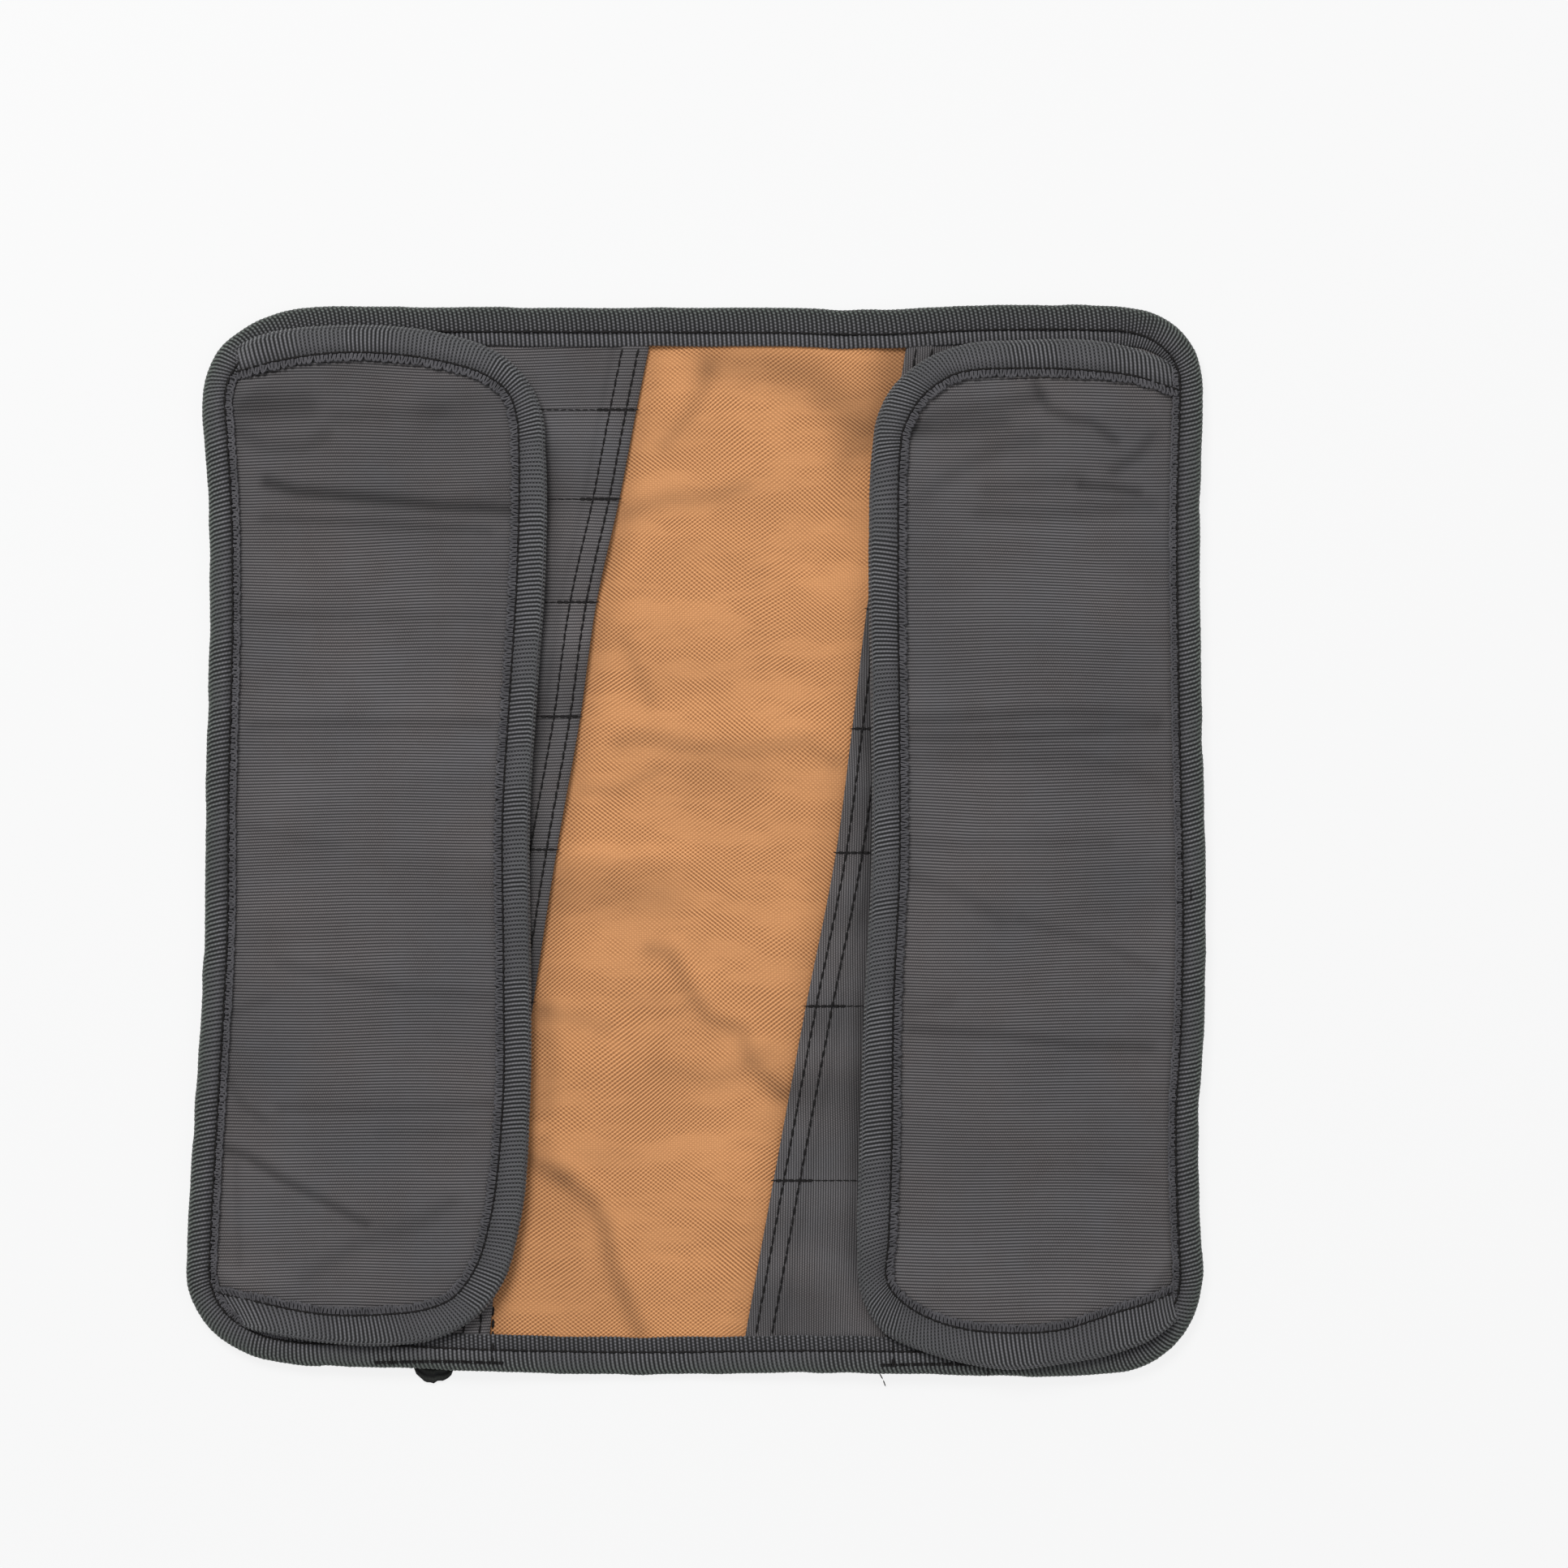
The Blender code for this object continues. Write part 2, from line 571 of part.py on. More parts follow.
def inset_rim():
    loop = RIM + RIM_NORMAL * EDGE_INSET
    half = len(loop) // 2
    kept = thin(loop[: half + 1], EDGE_TOLERANCE, EDGE_STEP)[:-1]
    kept += [half + i for i in thin(np.vstack([loop[half:], loop[:1]]), EDGE_TOLERANCE, EDGE_STEP)[:-1]]
    return loop, loop[kept]


def build_base():
    _, loop = inset_rim()
    spots = fill(loop, [(fold_points("base_panel"), FOLD_STEP * 0.5), (lattice(BASE_STEP), BASE_STEP)])
    return add_sheet("base_panel", loop, spots, base_under, BASE_THICKNESS, "tan_cloth")


def build_pocket_panel(side):
    loop, _ = inset_rim()
    beyond = SIGN[side] * (loop[:, 0] - mouth_x(side, loop[:, 1])) < 0
    start = int(np.flatnonzero(beyond & ~np.roll(beyond, 1))[0])
    arc = np.roll(loop, -start, axis=0)
    arc = arc[: int(np.argmin(np.roll(beyond, -start)))]
    ends = [np.array([mouth_x(side, p[1]), p[1]]) for p in (arc[-1], arc[0])]
    line = MOUTH[side] if ends[0][1] > ends[1][1] else MOUTH[side][::-1]
    low, high = sorted(p[1] for p in ends)
    line = line[(line[:, 1] > low + FINE_STEP) & (line[:, 1] < high - FINE_STEP)]
    mouth = np.vstack([ends[0], line, ends[1]])
    arc = arc[np.abs(arc[:, 0] - mouth_x(side, arc[:, 1])) > FINE_STEP]
    ring = np.vstack([arc[thin(arc, EDGE_TOLERANCE, EDGE_STEP)], mouth[thin(mouth, EDGE_TOLERANCE, EDGE_STEP)]])
    seams = place([(x, y) for y, x in (POCKETS_LEFT if side == "left" else POCKETS_RIGHT)])[:, 1]
    quarters = [a + (b - a) * t for a, b in zip(seams, seams[1:]) for t in (0, 0.25, 0.5, 0.75)]
    xs = lattice(POCKET_STEP)[:, 0]
    rows = np.array([(x, y) for y in quarters for x in sorted(set(xs))])
    spots = fill(ring, [(rows, POCKET_STEP * 0.6)])
    return add_sheet("pocket_panel_" + side, ring, spots, pocket_under(side), POCKET_THICKNESS, "grey_cloth")


def side_rows(side, step):
    """Points down a flap beside the body's tape, a step in from it, where the cloth leaves the tape."""
    top, bottom = flap_ends(side)
    tip = RIM + RIM_NORMAL * rim_reach()[:, None]
    tip = tip[(SIGN[side] * tip[:, 0] < 0) & (tip[:, 1] < top) & (tip[:, 1] > bottom)]
    tip = tip[np.argsort(tip[:, 1])]
    ys = np.arange(bottom + FLAP_HEM_RAMP, top - FLAP_HEM_RAMP, FLAP_STEP)
    return np.column_stack([np.interp(ys, *tip[:, ::-1].T) + SIGN[side] * (CLEARANCE + step), ys])


def end_rows(side, step):
    """Points across each end of a flap's side, a step in from the tape's end, where the cloth drops under the rim."""
    top, bottom = flap_ends(side)
    inner = TAPES[side][0, 2]
    xs = inner + SIGN[side] * np.arange(1, 4) * FLAP_HEM_RAMP
    return np.array([(x, y) for x in xs for y in (top - step, bottom + step)])


def build_flap(side):
    outer, inward, width = tape_sections(side)
    hem = outer + inward * EDGE_INSET
    top, bottom = flap_ends(side)
    tip = RIM + RIM_NORMAL * rim_reach()[:, None]
    tip = tip[(SIGN[side] * tip[:, 0] < 0) & (tip[:, 1] < top + REACH_TOP) & (tip[:, 1] > bottom - REACH_BOTTOM)]
    tip = tip[np.argsort(tip[:, 1])]
    ys = np.arange(bottom + FINE_STEP, top - FINE_STEP, FINE_STEP)
    tuck = FLAP_TUCK * side_window(side, ys, FLAP_HEM_RAMP, FLAP_TUCK_RAMP)
    beside = np.interp(ys, tip[:, 1], tip[:, 0])
    stop = np.interp(ys, [bottom, top], [TAPES[side][-1, 2], TAPES[side][0, 2]])
    clear = beside + SIGN[side] * CLEARANCE
    clear = np.where(SIGN[side] * (stop - clear) > 0, stop, clear)
    free = side_window(side, ys, FLAP_HEM_RAMP - FLAP_TUCK_RAMP, FLAP_TUCK_RAMP)
    edge = np.column_stack([free * (beside + SIGN[side] * CLEARANCE) + (1 - free) * clear - SIGN[side] * tuck, ys])
    ring = np.vstack([hem[thin(hem, EDGE_TOLERANCE, EDGE_STEP)], edge[thin(edge, EDGE_TOLERANCE, EDGE_STEP)]])
    if SIGN[side] > 0:
        ring = ring[::-1]
    steps = [side_rows(side, step) for step in (0, FLAP_RISE_START)]
    ends = [end_rows(side, step) for step in (FLAP_HEM_MARGIN, FLAP_HEM_RAMP)]
    spots = [(np.vstack(steps + ends), FOLD_STEP * 0.3), (fold_points("flap_" + side), FOLD_STEP * 0.5)]
    spots = fill(ring, spots + [(lattice(FLAP_STEP), FLAP_STEP)])
    return add_sheet("flap_" + side, ring, spots, flap_under(side), FLAP_THICKNESS, "grey_cloth")


def build_strap(side):
    middle = place([STRAP_LEFT_AT if side == "left" else STRAP_RIGHT_AT, 0.0])
    half, foot = STRAP_WIDTH / 2, middle[1] + STRAP_INSET
    loop = [(middle[0] - half, foot), (middle[0] + half, foot)]
    if side == "left":
        end = place([STRAP_END_AT, 0.0])[0]
        turn = np.linspace(-1, 1, 9)
        drop = (STRAP_END_OUT + STRAP_INSET) * (1 - turn**4) + 0 * turn
        loop[1:1] = [(end + t * STRAP_END_WIDTH / 2, foot - d) for t, d in zip(turn, drop)]
    loop += [(middle[0] + half, foot + STRAP_LENGTH), (middle[0] - half, foot + STRAP_LENGTH)]
    return add_sheet(
        "strap_" + side, np.array(loop), np.empty((0, 2)), lambda x, y: 0 * x, STRAP_THICKNESS, "black_webbing"
    )


def main():
    for old in list(bpy.data.objects):
        bpy.data.objects.remove(old, do_unlink=True)
    build_base()
    build_body_binding()
    for side in ("left", "right"):
        build_pocket_panel(side)
        build_flap(side)
        build_flap_binding(side)
        build_strap(side)


main()
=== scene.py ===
"""Dresses the open tool roll: woven cloths, webbing tapes, looped edges, black stitching. Metres, Z up."""

import bpy
import numpy as np
from mathutils.bvhtree import BVHTree
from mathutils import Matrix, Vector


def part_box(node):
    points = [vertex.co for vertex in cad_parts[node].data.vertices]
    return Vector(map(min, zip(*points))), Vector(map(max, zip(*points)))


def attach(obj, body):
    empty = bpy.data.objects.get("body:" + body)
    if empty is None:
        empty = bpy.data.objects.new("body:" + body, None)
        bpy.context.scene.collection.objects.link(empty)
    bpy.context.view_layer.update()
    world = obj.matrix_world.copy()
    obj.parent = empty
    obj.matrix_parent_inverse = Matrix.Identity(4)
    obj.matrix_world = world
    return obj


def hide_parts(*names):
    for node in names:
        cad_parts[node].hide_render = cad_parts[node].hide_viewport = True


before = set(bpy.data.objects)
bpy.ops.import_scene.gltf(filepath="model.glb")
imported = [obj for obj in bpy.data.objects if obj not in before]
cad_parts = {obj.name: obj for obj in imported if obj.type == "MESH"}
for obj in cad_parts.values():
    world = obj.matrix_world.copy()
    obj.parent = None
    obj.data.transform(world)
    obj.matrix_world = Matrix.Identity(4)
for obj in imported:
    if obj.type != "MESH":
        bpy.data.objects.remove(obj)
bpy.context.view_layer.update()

# Straps on the back. Two lengths of black webbing, woven in cross ribs and sewn on at the bottom edge.
# The sealed end of the left one sticks out a little below the tape, rough where it was cut.
STRAP_RIB = 0.0016
STRAP_RIB_HEIGHT = 0.00022
STRAP_END_MIDDLE = -0.0899
STRAP_END_HALF = 0.0072
STRAP_END_BLEND = 0.01
STRAP_TUCK = 0.0018
# the black webbing's colour on its ribs, and the darker painted shade for its hollows
STRAP_COLOURS = ((0.03, 0.032, 0.028, 1), (0.008, 0.008, 0.008, 1))
RIB_PHASES = (0.0, 0.2, 0.5, 0.8)
BEAD = 0.0011
TONGUE_LENGTH = 0.9
TONGUE_WAVES = [(0.07, 6, 0.8), (0.04, 15, 0.0)]
RIB_SHAPE_POWER = 2.6
RIB_SHADE_POWER = 1.5
HOLLOW_POWER = 2.3
BEAD_SHARE = 0.16
BRICK_SHARE = 0.6
NET_LEVEL = 0.62
# painted reflection: a greenish cast laid on the rounded outer edge of the tapes
EDGE_REFLECTION_TINT = (0.78, 0.95, 0.76)
DEEP_SHADE = 0.3


class Graph:
    """A node tree that grows by calls. Inputs go by name or place, each a socket or a value."""

    def __init__(self, tree):
        self.tree = tree

    def add(self, kind, inputs=None, out=0, **settings):
        node = self.tree.nodes.new(kind)
        for key, value in settings.items():
            setattr(node, key, value)
        for place, value in (inputs or {}).items():
            if isinstance(value, bpy.types.NodeSocket):
                self.tree.links.new(value, node.inputs[place])
            else:
                node.inputs[place].default_value = value
        return node.outputs[out]

    def math(self, operation, *values):
        return self.add("ShaderNodeMath", dict(enumerate(values)), operation=operation)

    def mix(self, share, a, b):
        return self.add("ShaderNodeMix", {0: share, 6: a, 7: b}, out=2, data_type="RGBA")

    def split(self, vector):
        node = self.add("ShaderNodeSeparateXYZ", {0: vector}).node
        return node.outputs[0], node.outputs[1], node.outputs[2]

    def times(self, *factors):
        product = factors[0]
        for factor in factors[1:]:
            product = self.math("MULTIPLY", product, factor)
        return product

    def part(self, value, sign):
        """What of the value lies on one side of nought, as a positive number."""
        return self.math("MAXIMUM", self.times(value, sign), 0.0)

    def scaled(self, vector, share):
        return self.add("ShaderNodeVectorMath", {0: vector, 3: share}, operation="SCALE")

    def by_parts(self, vector, factors):
        return self.add("ShaderNodeVectorMath", {0: vector, 1: factors}, operation="MULTIPLY")

    def ridge(self, count, power):
        """A rounded rib for each whole number in the count: none at its ends, one in the middle."""
        part = self.math("FRACT", count)
        off = self.math("ABSOLUTE", self.math("MULTIPLY_ADD", part, 2.0, -1.0))
        return self.math("SUBTRACT", 1.0, self.math("POWER", off, power))

    def beads(self, across, row):
        """A wave across the ribs, staggered from one row to the next."""
        turn = self.math("MULTIPLY_ADD", self.math("FLOOR", row), 0.5, across)
        wave = self.math("COSINE", self.times(turn, 2 * np.pi))
        return self.math("MULTIPLY_ADD", wave, 0.5, 0.5)


def linked(name, data):
    """A new object at the origin, linked to the scene."""
    made = bpy.data.objects.new(name, data)
    bpy.context.scene.collection.objects.link(made)
    return made


def grower(name, sizes):
    """A Geometry Nodes tree with a source, the named sizes and a finish as its inputs."""
    tree = bpy.data.node_groups.new(name, "GeometryNodeTree")
    for label, kind in [("Source", "Geometry"), *sizes, ("Finish", "Material")]:
        tree.interface.new_socket(label, in_out="INPUT", socket_type="NodeSocket" + kind)
    tree.interface.new_socket("Result", in_out="OUTPUT", socket_type="NodeSocketGeometry")
    return Graph(tree), tree.nodes.new("NodeGroupInput").outputs


def hand_out(graph, given, shape):
    """Ends a tree: instances made real, the finish set and the result handed out."""
    smooth = graph.add("GeometryNodeSetShadeSmooth", {"Geometry": shape})
    real = graph.add("GeometryNodeRealizeInstances", {"Geometry": smooth})
    done = graph.add("GeometryNodeSetMaterial", {"Geometry": real, "Material": given["Finish"]})
    graph.add("NodeGroupOutput", {0: done}, out=slice(0, 0))
    return graph.tree


def grow(name, source, tree, finish, sizes):
    """Runs a tree on a source object and keeps the result as a plain mesh in an object of its own."""
    modifier = source.modifiers.new("grow", "NODES")
    modifier.node_group = tree
    values = {**sizes, "Finish": finish}
    for item in tree.interface.items_tree:
        if item.in_out == "INPUT" and item.name in values:
            modifier[item.identifier] = values[item.name]
    grown = source.evaluated_get(bpy.context.evaluated_depsgraph_get())
    mesh = bpy.data.meshes.new_from_object(grown)
    bpy.data.objects.remove(source)
    return linked(name, mesh)


def solid(name, points, faces, finish, **marks):
    """A smooth mesh with its finish and its named marks, one value or vector for each point."""
    mesh = bpy.data.meshes.new(name)
    mesh.from_pydata(np.asarray(points, float).tolist(), [], faces)
    mesh.materials.append(finish)
    mesh.shade_smooth()
    for label, values in marks.items():
        kind, field = ("FLOAT_VECTOR", "vector") if values.ndim == 2 else ("FLOAT", "value")
        mark = mesh.attributes.new(label, kind, "POINT")
        mark.data.foreach_set(field, values.astype(np.float32).ravel())
    return linked(name, mesh)


def skin(rings, closed, flat=False):
    """Faces between neighbouring rings of points, pointing out. Open ends get a face, or a strip if flat."""
    count, size = rings.shape[:2]
    index = np.arange(count * size).reshape(count, size)
    here, ahead = (index, np.roll(index, -1, 0)) if closed else (index[:-1], index[1:])
    quads = np.stack([here, ahead, np.roll(ahead, -1, 1), np.roll(here, -1, 1)], -1).reshape(-1, 4)
    a, b, c, d = (rings.reshape(-1, 3)[quads[:, k]] for k in range(4))
    volume = (np.cross(b - a, c - a) * a).sum() + (np.cross(c - a, d - a) * a).sum()
    faces = quads.tolist()
    if not closed and flat:
        pairs = [(k, k + 1, size - 2 - k, size - 1 - k) for k in range(size // 2 - 1)]
        faces += [index[0][list(pair)].tolist() for pair in pairs]
        faces += [index[-1][list(pair)][::-1].tolist() for pair in pairs]
    elif not closed:
        faces += [index[0].tolist(), index[-1][::-1].tolist()]
    return faces if volume > 0 else [face[::-1] for face in faces]


def rib_tree():
    """Lifts the woven ribs out of a smooth tape, by its own count of ribs along the weave."""
    graph, given = grower("Woven ribs", [("Rib Height", "Float"), ("Unevenness", "Float")])
    weave = graph.add("GeometryNodeInputNamedAttribute", {"Name": "weave"}, data_type="FLOAT_VECTOR")
    face = graph.add("GeometryNodeInputNamedAttribute", {"Name": "face"}, data_type="FLOAT")
    count, _, _ = graph.split(weave)
    each = graph.math("FLOOR", count)
    chance = graph.add("ShaderNodeTexWhiteNoise", {"W": each}, noise_dimensions="1D")
    even = graph.math("SUBTRACT", 1.0, graph.times(chance, given["Unevenness"]))
    rise = graph.times(graph.ridge(count, RIB_SHAPE_POWER), even, face, given["Rib Height"])
    offset = graph.scaled(graph.add("GeometryNodeInputNormal"), rise)
    moved = graph.add("GeometryNodeSetPosition", {"Geometry": given["Source"], "Offset": offset})
    return hand_out(graph, given, moved)


def finish(name, roughness, sheen):
    """A new material, its node graph and its shader."""
    made = bpy.data.materials.new(name)
    made.use_nodes = True
    shader = made.node_tree.nodes["Principled BSDF"]
    shader.inputs["Roughness"].default_value = roughness
    shader.inputs["Specular IOR Level"].default_value = 0.25
    shader.inputs["Sheen Weight"].default_value = sheen
    shader.inputs["Sheen Roughness"].default_value = 0.6
    return made, Graph(made.node_tree), shader


def dress(graph, shader, colour, relief, depth):
    """Gives the shader its colour and its bump."""
    normal = graph.add("ShaderNodeBump", {"Strength": 1.0, "Distance": depth, "Height": relief})
    graph.tree.links.new(colour, shader.inputs["Base Color"])
    graph.tree.links.new(normal, shader.inputs["Normal"])


def clouds(graph, sizes, low, high, detail):
    """Soft chance unevenness between two values, with patches of the given sizes along X, Y and Z."""
    spot = graph.by_parts(graph.add("ShaderNodeTexCoord", out=3), tuple(1 / size for size in sizes))
    grain = {"Vector": spot, "Scale": 1.0, "Detail": detail, "Roughness": 0.6}
    noise = graph.add("ShaderNodeTexNoise", grain)
    ends = {"From Min": 0.3, "From Max": 0.7, "To Min": low, "To Max": high}
    return graph.add("ShaderNodeMapRange", {"Value": noise, **ends})


def blotches(graph, size, low, high):
    return clouds(graph, (size, size, size), low, high, 4.0)


def bends(graph, size, low, high):
    return clouds(graph, (size, size, size), low, high, 0.0)


def webbing(name, light, dark, roughness, sheen):
    """Ribs of staggered beads along a tape's weave. Its knit mark makes bricks above nought, a net below."""
    made, graph, shader = finish(name, roughness, sheen)
    weave = graph.add("ShaderNodeAttribute", out=1, attribute_name="weave")
    knit = graph.add("ShaderNodeAttribute", out=2, attribute_name="knit")
    count, across, edge = graph.split(weave)
    bricks = graph.math("MULTIPLY_ADD", graph.part(knit, 1.0), BRICK_SHARE, BEAD_SHARE)
    gaps = graph.math("SUBTRACT", 1.0, graph.beads(across, count))
    beaded = graph.math("SUBTRACT", 1.0, graph.times(bricks, gaps))
    ribs = graph.times(graph.ridge(count, RIB_SHADE_POWER), beaded)
    bridge = graph.beads(across, graph.math("ADD", count, 0.5))
    net = graph.times(graph.part(knit, -1.0), bridge)
    relief = graph.math("MULTIPLY_ADD", net, graph.math("SUBTRACT", NET_LEVEL, ribs), ribs)
    # painted shade: the colour darkens from the light one to the dark one in the hollows between the ribs and
    # the beads, where shade falls
    colour = graph.mix(graph.math("POWER", relief, HOLLOW_POWER), dark, light)
    worn = graph.scaled(colour, blotches(graph, 0.02, 0.9, 1.1))
    # painted reflection: a greenish cast where the edge mark is above nought, on the rounded outer edge
    with_painted_light = graph.mix(graph.part(edge, 1.0), worn, graph.by_parts(worn, EDGE_REFLECTION_TINT))
    # painted shade: a darker copy of the colour where the edge mark is below nought, in the strip under the
    # loops, in the groove at the seam and on the inner part of the tape
    with_painted_light = graph.mix(graph.part(edge, -1.0), with_painted_light, graph.scaled(worn, DEEP_SHADE))
    dress(graph, shader, with_painted_light, relief, 0.0004)
    return made


def strap(name, node, tongue, finish):
    """A strap from its node's box: cross rows of points, close together at each rib."""
    low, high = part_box(node)
    plain_low, plain_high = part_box("strap_right")
    half, middle = (plain_high.x - plain_low.x) / 2, (low.x + high.x) / 2
    foot, top = plain_low.y + STRAP_TUCK, high.y
    ribs = round((top - foot) / STRAP_RIB)
    count = (np.arange(ribs)[:, None] + RIB_PHASES).ravel()
    tip = (STRAP_END_MIDDLE - middle + STRAP_END_HALF * np.linspace(-1, 1, 13)) / half
    bead = np.unique(np.concatenate([np.linspace(-1, 1, 7), tongue * tip]))
    across = np.concatenate([bead, bead[::-1]])
    level = np.concatenate([0 * bead + 1.0, 0 * bead])
    level = np.where(np.abs(across) == 1, 0.5, level)
    base, roof = low.z + STRAP_RIB_HEIGHT, high.z - STRAP_RIB_HEIGHT
    x = middle + half * across[None, :] + 0 * count[:, None]
    y = foot + (count * STRAP_RIB)[:, None] + 0 * x
    share = np.clip((x - STRAP_END_MIDDLE) / STRAP_END_HALF, -1, 1)
    rough = TONGUE_LENGTH + sum(size * np.cos(turns * share + start) for size, turns, start in TONGUE_WAVES)
    drop = (foot - low.y) * (1 - share**4) * rough
    y -= tongue * drop * np.clip(1 - (y - foot) / STRAP_END_BLEND, 0, 1)
    z = base + (roof - base) * level[None, :] + 0 * x
    rings = np.stack([x, y, z], -1)
    weave = np.stack([count[:, None] + 0 * x, half * across[None, :] / BEAD + 0 * x, 0 * x], -1)
    marks = {"weave": weave.reshape(-1, 3), "face": np.ones(x.size), "knit": np.zeros(x.size)}
    source = solid(name + "_source", rings.reshape(-1, 3), skin(rings, False, flat=True), finish, **marks)
    made = grow(name, source, ribs_of, finish, {"Rib Height": STRAP_RIB_HEIGHT, "Unevenness": 0.3})
    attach(made, "root")
    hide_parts(node)


ribs_of = rib_tree()
black_webbing = webbing("Black webbing", *STRAP_COLOURS, roughness=0.75, sheen=0.1)
strap("strap_webbing_left", "strap_left", 1.0, black_webbing)
strap("strap_webbing_right", "strap_right", 0.0, black_webbing)

# Body cloth. One panel of tan basket weave, cut to the outline, which shows between the rows of pockets.
# It is soft, so it lies in low cross waves and folds pressed in by rolling, and sinks in the middle.
TAN_COLUMN = 0.00088
TAN_ROW = 0.00071
# the tan cloth's colour on its raised threads, and the darker painted shade between them
TAN_COLOURS = ((0.99, 0.482, 0.203, 1), (0.3, 0.107, 0.03, 1))
CLOTH_THICKNESS = 0.001
BASE_GRID = 0.002
BASE_WAVE = 0.0006
BASE_WAVES = [(0.6, 0.045, 0.011, 3), (0.4, 0.022, 0.0065, 4)]
BASE_TONES = [(1.0, 0.06, 0.009, 5)]
BASE_TONE = 0.07
CREASE_RISE = 1.6
CREASE_LIGHT = 140
BARE_HALF_WIDTH = 0.055
BARE_HALF_LENGTH = 0.165
BARE_MIDDLE = 0.004
BARE_SLANT = 0.19
BASE_CREASES = [
    # (rise, width, point, point ...), points as shares of the body's width and length
    (0.0007, 0.004, (0.362, 0.201), (0.385, 0.189), (0.408, 0.168), (0.423, 0.14), (0.43, 0.105),
     (0.448, 0.06)),
    (0.0005, 0.0035, (0.484, 0.4), (0.505, 0.364), (0.522, 0.342), (0.552, 0.331), (0.563, 0.3),
     (0.585, 0.276)),
    (0.0002, 0.004, (0.448, 0.824), (0.475, 0.83), (0.516, 0.832), (0.546, 0.84)),
    (0.0004, 0.004, (0.48, 0.867), (0.502, 0.89), (0.517, 0.916)),
    (0.0002, 0.004, (0.425, 0.603), (0.452, 0.607), (0.497, 0.598), (0.568, 0.598), (0.606, 0.601)),
    (0.0005, 0.004, (0.376, 0.487), (0.435, 0.485), (0.493, 0.484)),
    (0.0003, 0.0045, (0.41, 0.726), (0.456, 0.773), (0.501, 0.787), (0.546, 0.773), (0.598, 0.748),
     (0.644, 0.712)),
    (0.0003, 0.004, (0.354, 0.35), (0.411, 0.336)),
]
BASE_SHADOWS = [
    # (depth, width, point, point ...), where a fold, a pocket hem or a flap keeps the light off
    (0.22, 0.006, (0.4543, 0.9622), (0.4248, 0.8185), (0.3866, 0.6157), (0.3405, 0.3495), (0.2975, 0.0371)),
    (0.45, 0.01, (0.7, 0.96), (0.686, 0.89)),
    (0.15, 0.006, (0.6675, 0.7163), (0.6531, 0.6044), (0.6078, 0.3457), (0.5481, 0.0371)),
    (0.16, 0.0035, (0.3504, 0.2198), (0.36, 0.2), (0.372, 0.188)),
    (0.31, 0.0036, (0.334, 0.204), (0.3692, 0.1842), (0.3955, 0.1663), (0.4105, 0.1413),
     (0.418, 0.1056), (0.4444, 0.0414)),
    (0.1, 0.018, (0.35, 0.165), (0.36, 0.05)),
    (0.22, 0.0032, (0.4556, 0.3982), (0.4744, 0.3946), (0.4932, 0.3625), (0.512, 0.334), (0.5459, 0.3233),
     (0.5534, 0.2947), (0.5722, 0.2733), (0.585, 0.2626)),
    (0.14, 0.0045, (0.57, 0.3), (0.585, 0.27)),
    (0.17, 0.0034, (0.4331, 0.805), (0.4481, 0.8122), (0.4744, 0.8193), (0.5158, 0.8207), (0.5459, 0.83)),
    (0.22, 0.0038, (0.4707, 0.8692), (0.4932, 0.8942), (0.5068, 0.9192), (0.512, 0.9406)),
    (0.3, 0.008, (0.515, 0.948), (0.5684, 0.943), (0.6135, 0.933), (0.6436, 0.9049), (0.6571, 0.8692)),
    (0.12, 0.005, (0.6436, 0.855), (0.655, 0.798)),
    (0.16, 0.0034, (0.4256, 0.5923), (0.4519, 0.5966), (0.497, 0.5873), (0.5383, 0.5838),
     (0.606, 0.5909), (0.6361, 0.5731)),
    (0.12, 0.007, (0.5008, 0.5623), (0.5534, 0.5588)),
    (0.15, 0.0028, (0.3917, 0.5481), (0.4256, 0.5481), (0.4632, 0.5659)),
    (0.17, 0.0085, (0.3767, 0.4482), (0.4632, 0.4482)),
    (0.13, 0.003, (0.4293, 0.6873), (0.4444, 0.6552), (0.4556, 0.6302)),
    (0.2, 0.004, (0.3504, 0.3411), (0.3579, 0.2912), (0.3519, 0.2484)),
    (0.15, 0.0035, (0.3541, 0.3411), (0.4105, 0.3268)),
    (0.12, 0.004, (0.4632, 0.2912), (0.5158, 0.2769), (0.5609, 0.2983)),
]
body_low, body_high = (np.array(end)[:2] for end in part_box("body_binding"))


def place(shares):
    """Shares of the body's width and length, from its lower left corner, as metres."""
    return body_low + np.asarray(shares, float) * (body_high - body_low)


def hull(piece):
    """A search tree of a piece's faces, for measuring heights on it."""
    mesh = piece.data
    return BVHTree.FromPolygons([v.co for v in mesh.vertices], [p.vertices for p in mesh.polygons])


def height_on(tree, x, y, up=False):
    """The height of the piece's top, or of its underside, at each point; none where there is no cloth."""
    start, way = (-1.0, 1.0) if up else (1.0, -1.0)
    found = [tree.ray_cast((a, b, start), (0, 0, way))[0] for a, b in zip(np.ravel(x), np.ravel(y))]
    return np.array([np.nan if point is None else point.z for point in found]).reshape(np.shape(x))


def settle(top, passes):
    """Smooths a grid of heights, each pass averaging a point with its neighbours that have cloth."""
    there = ~np.isnan(top)
    for _ in range(passes):
        for axis in (0, 1):
            kept = np.where(there, top, 0.0)
            total = kept + np.roll(kept, 1, axis) + np.roll(kept, -1, axis)
            count = 1.0 * there + np.roll(there, 1, axis) + np.roll(there, -1, axis)
            top = np.where(there, total / np.maximum(count, 1), np.nan)
    return top


def widen(top):
    """Carries a cloth one more row of points outwards all round, where a seam or a tape hides its edge."""
    near = [np.roll(top, shift, axis) for axis in (0, 1) for shift in (1, -1)]
    filled = np.fmax.reduce(near)
    return np.where(np.isnan(top), filled, top)


def ease(t):
    t = np.clip(t, 0.0, 1.0)
    return t * t * (3 - 2 * t)


